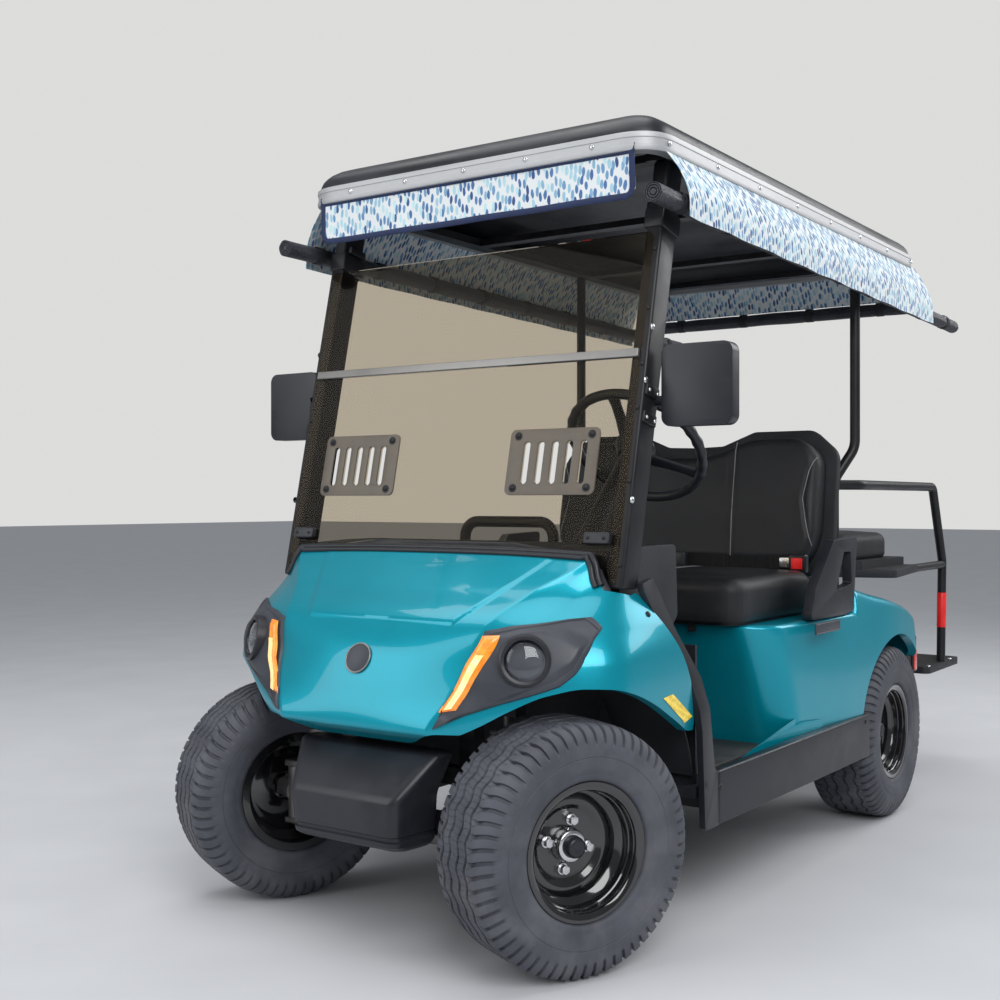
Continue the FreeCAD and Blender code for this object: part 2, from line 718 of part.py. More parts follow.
def body_points(row, inset):
    z, front, nose, near, mid, wide, rear = row
    seat_side = s.seat_half_width - inset
    fender_side = s.body_half_width - inset
    half = [
        (fx(front - inset), seat_side + nose - 30, 30),
        (fx(front - 60), seat_side + near, 40),
        (fx(-1350), seat_side + mid, 200),
        (fx(-1625), fender_side - wide, 200),
        (fx(-1855 + inset), fender_side - rear, 50),
    ]
    other = [(p[0], -p[1]) + tuple(p[2:]) for p in reversed(half)]
    return half + other


body_outer = [(row[0], body_points(row, 0)) for row in BODY]
body_inner = [(row[0], body_points(row, s.panel_wall)) for row in BODY]
body_inner[0] = (300, body_points(BODY[0], s.panel_wall))
body_block = layers("body_block", body_outer)
body_void = layers("body_void", body_inner)
shelf_z = s.seat_bottom - s.soft_gap
top_line = [
    (fx(-700), shelf_z),
    (fx(-1341), shelf_z, 8),
    (fx(-1374), 712, 20),
    (fx(-1480), 690, 200),
    (fx(-1640), 660, 200),
    (fx(-1800), 620, 90),
    (fx(-1880), 560),
]
sill_line = [(fx(-940), 352.3), (fx(-940), floor_top), (fx(-700), floor_top)]
outer_side = prism("outer_side", "XZ", sill_line + top_line + [(fx(-1880), 353)], "0 - body_half_width - 50", "body_half_width + 50")
inner_side = prism(
    "inner_side",
    "XZ",
    [(fx(-700), 290)] + [(p[0], p[1] - s.panel_wall) + tuple(p[2:]) for p in top_line] + [(fx(-1880), 290)],
    "0 - body_half_width - 50",
    "body_half_width + 50",
)
rear_skin = cut(
    "rear_skin",
    common("rear_outer", body_block, outer_side),
    common("rear_inner", body_void, inner_side),
)
rear_arch = rod("rear_arch", (fx(-1632), 380, 262), (fx(-1632), 700, 262), "tyre_radius + 38")
rear_end = prism("rear_end", "XZ", box_outline(fx(-1900), fx(-1820), 290, 470), "380 + 0", "body_half_width + 90")
engine_door = prism("engine_door", "XY", box_outline(fx(-1250), fx(-850), -380, 380, 30), "seat_bottom - 30", "seat_bottom + 20")
frame_notch = prism("frame_notch", "XZ", box_outline(fx(-1900), fx(-1800), 290, 396), "0 - rail_y - rail_width / 2 - 5", "rail_y + rail_width / 2 + 5")
rocker_room = prism("rocker_room", "XZ", box_outline(fx(-945), fx(-600), 200, 352.3), "sill_y", "sill_y + body_half_width")
rear_tools = group("rear_tools", frame_notch, pair("rocker_rooms", rocker_room), pair("rear_arches", rear_arch), pair("rear_ends", rear_end), engine_door)
body_shell = cut("body_shell", rear_skin, rear_tools)

engine = prism("engine", "XZ", box_outline(fx(-1330), fx(-930), rail_top, s.seat_bottom - 60, 20), "0 - 250", "250 + 0")
keep("engine_block", engine)

# Dashboard with two open shelves and four cup holders.
dash_side = [
    (fx(-200), 640),
    (fx(-241), 641),
    (fx(-150.3), 775),
    (fx(-112.3), 850),
    (fx(-118), 858, 4),
    (fx(-300), 866, 10),
    (fx(-420), 866, 14),
    (fx(-430), 700, 20),
    (fx(-366), 640, 10),
]
dash_side[1] = (fx(-200), 701.9)
dash_block = prism("dash_block", "XZ", dash_side, "0 - strut_y + strut_width / 2", "strut_y - strut_width / 2")
shelf = prism("shelf", "XZ", box_outline(fx(-460), fx(-270), 712, 800, 12), "0 - 400", "0 - 130")
shelf_left = prism("shelf_left", "XZ", box_outline(fx(-460), fx(-300), 712, 790, 12), "0 - 110", "110 + 0")
cups = []
for i, y in enumerate((-400, 400)):
    cups.append(rod(f"cup_{i}", (fx(-345), y, 806), (fx(-345), y, 900), "lug_circle - 8"))
lean = s.column_rise - 90
column_out = rod("column_out", (0, 0, -s.column_length), (0, 0, -46), "column_radius")
column_room = placed("column_room", rod("column_room_rod", (0, 0, -s.column_length), (0, 0, -46), "column_radius + pin_clearance"), "front_axle_x + wheel_x", "wheel_y", "wheel_z", Vector(0, 1, 0), lean)
keep("dashboard", cut("dashboard", dash_block, group("dash_tools", shelf, shelf_left, column_room, *cups)))
hoop_x = fx(-390)
hoop = tube("dash_hoop_tube", [(hoop_x, -135, 866), (hoop_x, -135, 915), (hoop_x, 135, 915), (hoop_x, 135, 866)], 40, "grip_radius + 1")
keep("dash_hoop", hoop)

# Steering column and wheel. Both are built upright and leaned about the wheel centre.
column_bore = rod("column_bore", (0, 0, -130), (0, 0, 0), "shaft_radius + pin_clearance")
column_shape = cut("column_shape", column_out, column_bore)
keep("steering_column", placed("steering_column", column_shape, "front_axle_x + wheel_x", "wheel_y", "wheel_z", Vector(0, 1, 0), lean))
rim_ring = doc.addObject("Part::Torus", "rim_ring")
rim_ring.setExpression("Radius1", "sizes.wheel_radius")
rim_ring.setExpression("Radius2", "sizes.grip_radius")
hub_cone = doc.addObject("Part::Cone", "hub_cone")
hub_cone.Radius1 = 34
hub_cone.Radius2 = 52
hub_cone.Height = 40
hub_cone.Placement = Placement(Vector(0, 0, -45), Rotation())
shaft = rod("shaft", (0, 0, -120), (0, 0, -20), "shaft_radius")
spokes = []
for i, angle in enumerate((0, 125, 235)):
    spoke = doc.addObject("Part::Box", f"spoke_{i}")
    spoke.setExpression("Length", "sizes.wheel_radius - 30")
    spoke.Width = 34
    spoke.Height = 10
    turn = Rotation(Vector(0, 0, 1), angle)
    spoke.Placement = Placement(turn.multVec(Vector(30, -17, -16)), turn)
    spokes.append(spoke)
wheel_solid = fuse("wheel_solid", rim_ring, hub_cone, shaft, *spokes)
keep("steering_wheel", placed("steering_wheel", wheel_solid, "front_axle_x + wheel_x", "wheel_y", "wheel_z", Vector(0, 1, 0), lean))

pedal_sides = []
for i, (y0, y1, z0) in enumerate(((100, 185, 395), (215, 290, 380))):
    pad_plate = prism(f"pedal_{i}", "XZ", [(fx(-395), z0), (fx(-385), z0 - 3), (fx(-340), z0 + 100), (fx(-350), z0 + 106)], f"{y0} + 0", f"{y1} + 0")
    stem = rod(f"stem_{i}", (fx(-360), (y0 + y1) / 2, z0 + 60), (fx(-262), (y0 + y1) / 2, z0 + 130), "shaft_radius - 3")
    pedal_sides.append(cut(f"pedal_seat_{i}", fuse(f"pedal_set_{i}", pad_plate, stem), toe_board))
keep("pedals", group("pedals", *pedal_sides))

# Windshield: two panes, cross rail, vents and clips, drawn flat and then leaned back.
def leaned(name, source):
    return keep(name, placed(name, source, "front_axle_x + screen_x", "0 * screen_x", "screen_z", lean_axis, sheet_lean))


pane = s.pane_half_width
slots = []
for k_slot in range(5):
    y = 205 + 38 * k_slot
    slots.append(box_outline(y, y + 18, 158, 258, 8.9))
slots_right = [box_outline(-a[1][0], -a[0][0], 158, 258, 8.9) for a in slots]
lower_pane_outline = [
    (0, 10),
    (200, 8),
    (340, -6),
    (430, -36),
    (pane, -62),
    (pane, s.rail_station - 10),
    (-pane, s.rail_station - 10),
    (-pane, -62),
    (-430, -36),
    (-340, -6),
    (-200, 8),
]
pane_low = prism("lower_pane", "YZ", [lower_pane_outline] + slots + slots_right, "0 * pane_thickness", "pane_thickness")
top_of_screen = 740
pane_high = prism("upper_pane", "YZ", box_outline(-pane, pane, s.rail_station + 10, top_of_screen, 12), "0 * pane_thickness", "pane_thickness")
leaned("windshield_panes", group("panes", pane_low, pane_high))
rail_section = box_outline(-0.2, s.pane_thickness + 5, s.rail_station - 9.7, s.rail_station + 9.7, 2)
leaned("windshield_rail", prism("screen_rail", "XZ", rail_section, "0 - strut_y", "strut_y"))
plate_left = prism("plate_left", "YZ", [box_outline(166, 404, 133, 287, 14)] + slots, "pane_thickness", "pane_thickness + 4")
leaned("windshield_vents", pair("vent_pair", plate_left))
clip = prism("clip", "YZ", box_outline(398, 462, 22, 48, 6), "pane_thickness", "pane_thickness + 16")
leaned("windshield_clips", pair("clip_pair", clip))
post = prism("post", "XZ", [(-s.strut_depth, -60), (-0.5, -72), (-0.5, 960), (-s.strut_depth, 960)], "strut_y - strut_width / 2", "strut_y + strut_width / 2")
post_leaned = placed("post_leaned", pair("post_pair", post), "front_axle_x + screen_x", "0 * screen_x", "screen_z", lean_axis, sheet_lean)
above_roof = prism("above_roof", "XZ", box_outline(fx(-600), fx(0), s.roof_bottom, s.roof_bottom + 200), "0 - body_half_width", "body_half_width")
keep("roof_struts_front", cut("roof_struts_front", post_leaned, above_roof))

# Cowl trim: the bead between the cowl and the windshield foot.
trim_over = layers("trim_over", [(row[0] + (6 if row is COWL[-1] else 0), cowl_points(row, -6)) for row in COWL[4:]])
trim_under = layers("trim_under", [(row[0] - 6, cowl_points(row, 6)) for row in COWL[4:]])
trim_slab = prism("trim_slab", "XZ", box_outline(5.3, 5 + bead_width, -77, 80), "0 - strut_y - strut_width / 2", "strut_y + strut_width / 2")
trim_room = placed("trim_room", trim_slab, "front_axle_x + screen_x", "0 * screen_x", "screen_z", lean_axis, sheet_lean)
keep("cowl_trim", cut("cowl_trim", common("trim_band", trim_over, trim_room), trim_under))

# Roof: drip rail, crowned skin.
r = s.roof_corner
gutter_out = box_outline(fx(s.roof_rear), fx(s.roof_front), -s.roof_half_width, s.roof_half_width, r)
gw = s.gutter_width
gutter_in = box_outline(fx(s.roof_rear + gw), fx(s.roof_front - gw), -s.roof_half_width + gw, s.roof_half_width - gw, r - gw)
keep("roof_gutter", prism("roof_gutter", "XY", [gutter_out, gutter_in], "roof_bottom", "roof_bottom + gutter_height"))


def roof_points(inset, corner):
    return box_outline(fx(s.roof_rear + inset), fx(s.roof_front - inset), -s.roof_half_width + inset, s.roof_half_width - inset, corner)


rise = s.roof_bottom + s.gutter_height
wall = s.roof_wall
roof_outer = [
    (rise, roof_points(6, r - 6)),
    (rise + 30, roof_points(22, r - 10)),
    (rise + 60, roof_points(75, r)),
    (rise + s.roof_rise, roof_points(190, r)),
]
roof_inner = [
    (rise - 1, roof_points(6 + 28, r - 20)),
    (rise + 30 - wall, roof_points(22 + 25, r - 20)),
    (rise + 60 - wall, roof_points(75 + 20, r - 10)),
    (rise + s.roof_rise - wall, roof_points(190 + 30, r - 10)),
]
keep("roof_top", layers("roof_top", roof_outer, roof_inner))

# Roof frame: two side members and three bows under the skin, inside the drip rail.
member_plan = box_outline(fx(-1970), fx(-302), s.strut_y - 36, s.roof_half_width - gw)
frame_bits = [prism("member", "XY", member_plan, "roof_bottom", "roof_bottom + 22")]
frame_bits.append(mirrored("member_right", frame_bits[0]))
for i, station in enumerate((-330, -900, -1560, -1945)):
    bow = box_outline(fx(station - 20), fx(station + 20), -s.strut_y + 36, s.strut_y - 36)
    frame_bits.append(prism(f"bow_{i}", "XY", bow, "roof_bottom", "roof_bottom + 18"))
keep("roof_frame", fuse("roof_frame", *frame_bits))

# Soft curtain valances and rolled curtains hung under the drip rail.
gap = s.soft_gap
drape = s.roof_bottom - gap
roll = s.pillar_radius + 9


def roll_z(station):
    return 1630 + (station + 146) * 40 / 2265


side_x0 = s.roof_rear + 60
side_x1 = s.roof_front - 60
roof_y = s.roof_half_width
side_section = [(roof_y - 8, drape), (roof_y, drape), (roof_y + 27, 1600), (roof_y + 19, 1600)]
side_face = prism("side_face", "YZ", side_section, "front_axle_x + roof_rear + 60", "front_axle_x + roof_front - 60")
side_edge = [(fx(side_x0), drape + 9), (fx(side_x0), roll_z(side_x0) + roll + gap), (fx(side_x1), roll_z(side_x1) + roll + gap), (fx(side_x1), drape + 9)]
side_valance = common("side_valance", side_face, prism("side_edge", "XZ", side_edge, "480 + 0", "body_half_width"))
end_half = roof_y - 50
end_low = end_half - 15
front_valance = prism("front_valance", "YZ", [(-end_half, drape), (-end_half, 1660, 19), (-end_low, 1640, 19), (end_low, 1640, 19), (end_half, 1660, 19), (end_half, drape)], "front_axle_x + roof_front - 12", "front_axle_x + roof_front - 6")
rear_x = s.roof_rear
rear_edge = [(fx(rear_x + 12), drape), (fx(rear_x + 4), drape), (fx(rear_x - 35), 1628 + roll + gap), (fx(rear_x - 27), 1628 + roll + gap)]
rear_valance = prism("rear_valance", "XZ", rear_edge, "50 - roof_half_width", "roof_half_width - 50")
keep("valance_sides", pair("valance_sides", side_valance))
keep("valance_ends", group("valance_ends", front_valance, rear_valance))
roll_y = roof_y + 22
roll_end = roof_y - 12
roll_left = rod("roll_left", (fx(-146), roll_y, roll_z(-146)), (fx(-2411), roll_y, roll_z(-2411)), "pillar_radius + 9")
roll_rear = rod("roll_rear", (fx(rear_x - 31), -roll_end, 1628), (fx(rear_x - 31), roll_end, 1628), "pillar_radius + 9")
keep("curtain_rolls", group("curtain_rolls", roll_left, mirrored("roll_right", roll_left), roll_rear))

# Rear pillars: down from the roof, then in and down beside the seat back to the rear body.
pillar = tube(
    "pillar",
    [
        (fx(s.pillar_x), s.pillar_y - 12, s.roof_bottom),
        (fx(s.pillar_x), s.pillar_y - 12, 1130),
        (fx(s.pillar_x + 50), s.pillar_y - 60, 1030),
        (fx(s.pillar_x + 50), s.pillar_y - 60, 640),
    ],
    80,
    "pillar_radius",
)
body_solid = common("body_solid", body_block, outer_side)
pillar_cut = cut("pillar_cut", pillar, body_solid)
keep("roof_struts_rear", pair("roof_struts_rear", pillar_cut))

# Main seat: lid cushion, back cushion in a moulded shell, hip restraints and belts.
hinge_x = fx(s.seat_hinge_front)
hinge_z = s.seat_bottom - s.hinge_drop
pan_top = s.seat_bottom + s.pan_thickness
pan_plate = prism("pan_plate", "XY", box_outline(fx(s.seat_rear + 5), fx(s.seat_front - 25), -s.seat_half_width + 20, s.seat_half_width - 20, 50), "seat_bottom", "seat_bottom + pan_thickness")
ears = []
for i, y in enumerate((-331, 313)):
    barrel = rod(f"ear_barrel_{i}", (hinge_x, y, hinge_z), (hinge_x, y + 18, hinge_z), "hinge_pin + 4")
    web = prism(f"ear_web_{i}", "XZ", box_outline(hinge_x - 8, hinge_x + 8, hinge_z, s.seat_bottom), f"0 {y:+d}", f"0 {y + 18:+d}")
    ears += [barrel, web]
pan_solid = fuse("pan_solid", pan_plate, *ears)
pin_room = rod("pin_room", (hinge_x, -400, hinge_z), (hinge_x, 400, hinge_z), "hinge_pin + pin_clearance")
keep("seat_pan", cut("seat_pan", pan_solid, pin_room))
seat_plan = box_outline(fx(s.seat_rear), fx(s.seat_front), -s.seat_half_width, s.seat_half_width, 70)
seat_pad = prism("seat_pad", "XY", seat_plan, "seat_bottom + pan_thickness + soft_gap", "seat_top")
seat_soft = soften("seat_soft", seat_pad, 38.0, lambda edge: lies_at(edge, "Z", s.seat_top))
keep("seat_cushion", seat_soft)
hinge_bits = []
for i, y in enumerate((-330, 314)):
    hinge_bits.append(rod(f"hinge_rod_{i}", (hinge_x, y - 16, hinge_z), (hinge_x, y + 32, hinge_z), "hinge_pin"))
    for k_lug, y_lug in enumerate((y - 15, y + 19)):
        lug = prism(f"hinge_lug_{i}_{k_lug}", "XZ", [(fx(-820), hinge_z - 6), (hinge_x + 6, hinge_z - 6, 3), (hinge_x + 6, hinge_z + 6, 3), (fx(-820), hinge_z + 6)], f"0 {y_lug:+d}", f"0 {y_lug + 12:+d}")
        hinge_bits.append(lug)

keep("rear_body", fuse("rear_body", body_shell, *hinge_bits))
back_y = s.seat_half_width
shell_half = [(0, 1143), (95, 1146, 60), (200, 1190, 60), (back_y - 80, 1190, 60)]
shell_half += [(back_y - 1, 1120, 60), (back_y + 3, 840, 60), (back_y - 35, 745, 30), (0, 745)]
shell_outline = shell_half[:-1] + [(-p[0],) + tuple(p[1:]) for p in reversed(shell_half[1:-1])]
back_lean = -10.0
shell_flat = prism("shell_flat", "YZ", [(p[0], p[1] - 745) + tuple(p[2:]) for p in shell_outline], "0 - 24", "0 * seat_top")
cushion_half = [(0, 1096), (95, 1100, 60), (215, 1152, 60), (back_y - 90, 1152, 60)]
cushion_half += [(back_y - 31, 1095, 60), (back_y - 29, 850, 60), (back_y - 65, 770, 40), (0, 770)]
cushion_outline = cushion_half[:-1] + [(-p[0],) + tuple(p[1:]) for p in reversed(cushion_half[1:-1])]
back_flat = prism("back_flat", "YZ", [(p[0], p[1] - 745) + tuple(p[2:]) for p in cushion_outline], "soft_gap", "95 + soft_gap")
back_soft = soften("back_soft", back_flat, 30.0, lambda edge: lies_at(edge, "X", 95 + s.soft_gap))
keep("seat_back_shell", placed("seat_back_shell", shell_flat, "front_axle_x + seat_rear - 120", "0 * seat_top", "seat_top - 33", lean_axis, back_lean))
keep("seat_back", placed("seat_back", back_soft, "front_axle_x + seat_rear - 120", "0 * seat_top", "seat_top - 33", lean_axis, back_lean))
shell_back = -24.0
stay = prism("stay", "XZ", [(-60, -160), (shell_back, -160), (shell_back, 360), (-60, 360)], "280 + 0", "310 + 0")
stay_leaned = placed("stay_leaned", pair("stay_pair", stay), "front_axle_x + seat_rear - 120", "0 * seat_top", "seat_top - 33", lean_axis, back_lean)
keep("seat_back_frame", cut("seat_back_frame", stay_leaned, body_solid))
rest_flat = prism("rest_flat", "YZ", box_outline(-400, 400, 175, 375, 50), "0 - 125", "0 - 60 - soft_gap")
keep("rear_backrest", placed("rear_backrest", rest_flat, "front_axle_x + seat_rear - 120", "0 * seat_top", "seat_top - 33", lean_axis, back_lean))
hip_outer = [
    (fx(-1000), 648, 12),
    (fx(-1040), 735),
    (fx(-1172), 858, 18),
    (fx(-1358), 864, 14),
    (fx(-1330), 652, 12),
    (fx(-1262), 645, 10),
]
hip_slot = [(fx(-1188), 716, 8), (fx(-1252), 824, 8), (fx(-1306), 822, 8), (fx(-1314), 730, 8)]
hip = prism("hip", "XZ", [hip_outer, hip_slot], "seat_half_width + 59", "seat_half_width + 87")
keep("hip_restraints", pair("hip_restraints", hip))
belt_outline = [
    (-430, shelf_z + gap),
    (-430, 802, 8),
    (-160, 790),
    (160, 790),
    (430, 802, 8),
    (430, shelf_z + gap),
    (385, shelf_z + gap),
    (385, 745, 8),
    (-385, 745, 8),
    (-385, shelf_z + gap),
]
belt = prism("belt", "YZ", belt_outline, "front_axle_x + seat_rear - 9", "front_axle_x + seat_rear - 6")
keep("seat_belts", belt)

# Mirrors on clamps at the front struts.
head = prism("head", "YZ", box_outline(514, 684, 1132, 1312, 22), "front_axle_x - 272", "front_axle_x - 237")
glass_recess = prism("glass_recess", "YZ", box_outline(522, 676, 1140, 1304, 16), "front_axle_x - 272", "front_axle_x - 269")
arm = rod("arm", (fx(-248), s.strut_y + s.strut_width / 2, 1190), (fx(-248), 530, 1190), "shaft_radius")
keep("mirrors", pair("mirrors", fuse("mirror", cut("mirror_head", head, glass_recess), arm)))
glass = prism("glass", "YZ", box_outline(522.1, 675.9, 1140.1, 1303.9, 15.9), "front_axle_x - 272", "front_axle_x - 269")
keep("mirror_glass", pair("mirror_glass", glass))

# Rear seat kit: tube frame, deck, flip seat, footplate.
py = s.pillar_y
leg_x = s.pillar_x + 50
leg_y = s.pillar_y - 60
rail_tube = tube(
    "rail_tube",
    [
        (fx(leg_x), leg_y, s.rear_rail_z),
        (fx(leg_x - 70), py, s.rear_rail_z),
        (fx(-2310), py, s.rear_rail_z),
        (fx(-2428), py, 752),
        (fx(-2412), py, s.footplate_top - 5),
    ],
    32,
    "pillar_radius",
)
below_foot = prism("below_foot", "XY", box_outline(fx(-2500), fx(-2350), 400, 600), "footplate_top - 60", "footplate_top")
deck_tube = rod("deck_tube", (fx(-2085), py, s.deck_top - 14), (fx(-2423), py, s.deck_top - 14), "pillar_radius - 1")
side_tubes = fuse("side_tubes", cut("rail_coped", rail_tube, group("rail_tools", pillar, below_foot)), deck_tube)
keep("rear_frame", pair("rear_frame", side_tubes))
flip_x = fx(s.seat_hinge_x)
flip_z = s.deck_top - s.hinge_drop
deck_half = [(fx(-1620), 380, 20), (fx(-1690), 570, 30), (fx(-2085), 516)]
deck_plan = deck_half + [(p[0], -p[1]) + tuple(p[2:]) for p in reversed(deck_half)]
deck_bits = [prism("deck_plate", "XY", deck_plan, "deck_top - deck_thickness", "deck_top")]
for i, y in enumerate((-312, 288)):
    deck_bits.append(prism(f"flip_arm_{i}", "XZ", box_outline(flip_x, fx(-2080), flip_z - 6, flip_z + 6), f"0 {y:+d}", f"0 {y + 24:+d}"))
    deck_bits.append(rod(f"flip_lug_{i}", (flip_x, y, flip_z), (flip_x, y + 24, flip_z), "hinge_pin + 4.5"))
deck_solid = fuse("deck_solid", *deck_bits)
flip_room = rod("flip_room", (flip_x, -330, flip_z), (flip_x, 330, flip_z), "hinge_pin + 1 + pin_clearance")
keep("rear_deck", cut("rear_deck", deck_solid, flip_room))
foot_plan = box_outline(fx(s.footplate_rear), fx(-2210), -516, 516, 25)
foot_board = prism("foot_board", "XY", foot_plan, "footplate_top - 24", "footplate_top")
tie_hole = rod("tie_hole", (fx(-2560), 430, s.footplate_top - 40), (fx(-2560), 430, s.footplate_top + 20), "tie_hole")
keep("footplate", cut("footplate", foot_board, pair("tie_holes", tie_hole)))

board_z = s.deck_top + s.soft_gap
board = prism("board", "XY", box_outline(fx(-2098), fx(-1650), -470, 470, 20), "deck_top + soft_gap", "deck_top + soft_gap + board_thickness")
pin = rod("flip_pin", (flip_x, -313, flip_z), (flip_x, 313, flip_z), "hinge_pin + 1")
barrel = rod("flip_barrel", (flip_x, -286, flip_z), (flip_x, 286, flip_z), "hinge_pin + 5")
flip_web = prism("flip_web", "XZ", box_outline(flip_x - 5, flip_x + 5, flip_z, s.deck_top + 5), "0 - 286", "286 + 0")
keep("rear_seat_board", fuse("rear_seat_board", board, pin, barrel, flip_web))
cushion_z = board_z + s.board_thickness + s.soft_gap
cushion = prism("cushion", "XY", box_outline(fx(-2050), fx(-1625), -430, 430, 60), "deck_top + 2 * soft_gap + board_thickness", "deck_top + soft_gap + board_thickness + rear_cushion_height")
cushion_top = board_z + s.board_thickness + s.rear_cushion_height
rear_soft = soften("rear_soft", cushion, 30.0, lambda edge: lies_at(edge, "Z", cushion_top))
keep("rear_seat_cushion", rear_soft)
tail_y = s.body_half_width - 80
tail = rod("tail", (fx(-1855), tail_y, 545), (fx(-1878), tail_y, 545), "lug_circle - 12")
keep("tail_lamps", pair("tail_lamps", tail))

doc.recompute()
problems = []
for item in doc.Objects:
    if "Invalid" in item.State or "Error" in item.State:
        problems.append(f"{item.Name}: {item.State}")
for item in nodes:
    if item.Shape.isNull() or not item.Shape.isValid():
        problems.append(f"{item.Label}: no valid shape")
if problems:
    raise SystemExit("\n".join(problems))
os.makedirs("parts", exist_ok=True)
for item in nodes:
    item.Shape.exportStep(f"parts/{item.Label}.step")
    box = item.Shape.BoundBox
    print(f"{item.Label:22s} {len(item.Shape.Solids)} solids, volume {item.Shape.Volume / 1e6:9.3f} l")
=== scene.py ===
import bpy
import bmesh
import json
import math
from mathutils import Matrix, Vector, noise


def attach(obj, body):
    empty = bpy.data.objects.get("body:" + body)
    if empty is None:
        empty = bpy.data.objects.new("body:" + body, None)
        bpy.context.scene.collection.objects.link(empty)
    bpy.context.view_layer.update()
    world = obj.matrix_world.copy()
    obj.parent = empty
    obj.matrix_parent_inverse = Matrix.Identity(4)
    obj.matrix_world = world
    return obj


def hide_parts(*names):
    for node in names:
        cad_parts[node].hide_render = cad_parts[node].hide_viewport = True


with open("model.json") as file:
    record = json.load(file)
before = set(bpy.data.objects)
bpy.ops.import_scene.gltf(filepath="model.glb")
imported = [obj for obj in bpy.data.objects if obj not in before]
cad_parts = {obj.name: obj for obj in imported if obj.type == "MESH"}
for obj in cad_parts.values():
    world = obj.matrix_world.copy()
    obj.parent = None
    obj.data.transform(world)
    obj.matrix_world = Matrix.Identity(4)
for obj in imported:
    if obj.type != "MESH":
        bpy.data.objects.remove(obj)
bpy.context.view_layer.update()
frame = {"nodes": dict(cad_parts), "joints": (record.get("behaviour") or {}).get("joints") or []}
joints = {joint["name"]: joint for joint in frame["joints"]}
axleX = joints["steer_left"]["pos_m"][0] * 1000
materials = {}
groups = {}
leftward, upright = Vector((0, 1, 0)), Vector((0, 0, 1))
onAxis = 0.01  # A radius that stands for zero where a turned profile meets its axis.


# Stations are millimetres from the front axle, and the scene is in metres.
def at(x, y, z):
    return Vector((axleX + x, y, z)) / 1000


def local(x, y, z):
    return Vector((x, y, z)) / 1000


def mix(a, b, share):
    return a + (b - a) * share


def clamp(value, low=0.0, high=1.0):
    return max(low, min(high, value))


def smoothStep(low, high, value):
    share = clamp((value - low) / (high - low))
    return share * share * (3 - 2 * share)


# A smooth line through a table of values.
def through(stations, values, station):
    last = len(stations) - 1

    def slopeAt(i):
        return (values[i + 1] - values[i]) / (stations[i + 1] - stations[i])

    if station <= stations[0]:
        return values[0] + (station - stations[0]) * slopeAt(0)
    if station >= stations[last]:
        return values[last] + (station - stations[last]) * slopeAt(last - 1)
    low = max(i for i in range(last) if stations[i] <= station)
    span, slope = stations[low + 1] - stations[low], slopeAt(low)

    # The slope at a station, which never overshoots the table.
    def eased(other):
        return 0.0 if other * slope <= 0 else 2 * other * slope / (other + slope)

    start = eased(slopeAt(low - 1)) if low else slope
    end = eased(slopeAt(low + 1)) if low + 1 < last else slope
    share = (station - stations[low]) / span
    cube, square = share ** 3, share ** 2
    ahead = (2 * cube - 3 * square + 1) * values[low] + (3 * square - 2 * cube) * values[low + 1]
    return ahead + span * ((cube - 2 * square + share) * start + (cube - square) * end)


# A point part of the way along a line of corners.
def alongLine(line, share):
    spot = share * (len(line) - 1)
    first = min(int(spot), len(line) - 2)
    return Vector(line[first]).lerp(Vector(line[first + 1]), spot - first)


# Mesh helpers. Each one starts from a bmesh operator and moves what it makes.
def gridPatch(across, along, place, flat=(1, 1)):
    patch = bmesh.new()
    bmesh.ops.create_grid(patch, x_segments=across, y_segments=along, size=1)
    uv = patch.loops.layers.uv.new("UVMap")
    shares = {v: ((v.co.x + 1) / 2, (v.co.y + 1) / 2) for v in patch.verts}
    for face in patch.faces:
        for loop in face.loops:
            u, v = shares[loop.vert]
            loop[uv].uv = (u * flat[0], v * flat[1])
    for v, share in shares.items():
        v.co = place(*share)
    return patch


# Draws a copy of some edges out of a part, and gives its points and its edges.
def extruded(part, edges):
    made = bmesh.ops.extrude_edge_only(part, edges=edges)["geom"]
    fresh = {item for item in made if isinstance(item, bmesh.types.BMVert)}
    rim = [item for item in made if isinstance(item, bmesh.types.BMEdge) and all(v in fresh for v in item.verts)]
    return fresh, rim


def faceOut(part):
    bmesh.ops.recalc_face_normals(part, faces=part.faces)
    return part


def merged(part, distance=1e-5):
    bmesh.ops.remove_doubles(part, verts=part.verts, dist=distance)
    return part


def moved(part, matrix):
    bmesh.ops.transform(part, matrix=matrix, verts=part.verts)
    return part


def ringStack(rings, capped=True):
    stack = bmesh.new()
    bmesh.ops.create_circle(stack, segments=len(rings[0]), radius=1, cap_ends=False)
    loop = list(stack.verts)
    for v, point in zip(loop, rings[0]):
        v.co = point
    if capped:
        bmesh.ops.contextual_create(stack, geom=loop)
    for ring in rings[1:]:
        fresh, _ = extruded(stack, [stack.edges.get(ends) for ends in zip(loop, loop[1:] + loop[:1])])
        loop = [next(e.other_vert(v) for e in v.link_edges if e.other_vert(v) in fresh) for v in loop]
        for v, point in zip(loop, ring):
            v.co = point
    if capped:
        bmesh.ops.contextual_create(stack, geom=loop)
    return faceOut(stack)


def spun(profile, steps, closed=True):
    lathe = bmesh.new()
    verts = [lathe.verts.new(local(0, y, r)) for y, r in profile]
    edges = [lathe.edges.new(ends) for ends in zip(verts, verts[1:] + verts[:1] if closed else verts[1:])]
    bmesh.ops.spin(
        lathe, geom=verts + edges, cent=(0, 0, 0), axis=leftward, angle=math.tau, steps=steps, use_merge=True)
    return faceOut(merged(lathe, 1e-6))


# A part turned about the y axis, whose axis is then laid along a direction.
def turned(profile, place, direction, steps=48, closed=False):
    turn = direction.to_track_quat("Y", "Z").to_matrix().to_4x4()
    return moved(spun(profile, steps, closed), Matrix.Translation(place) @ turn)


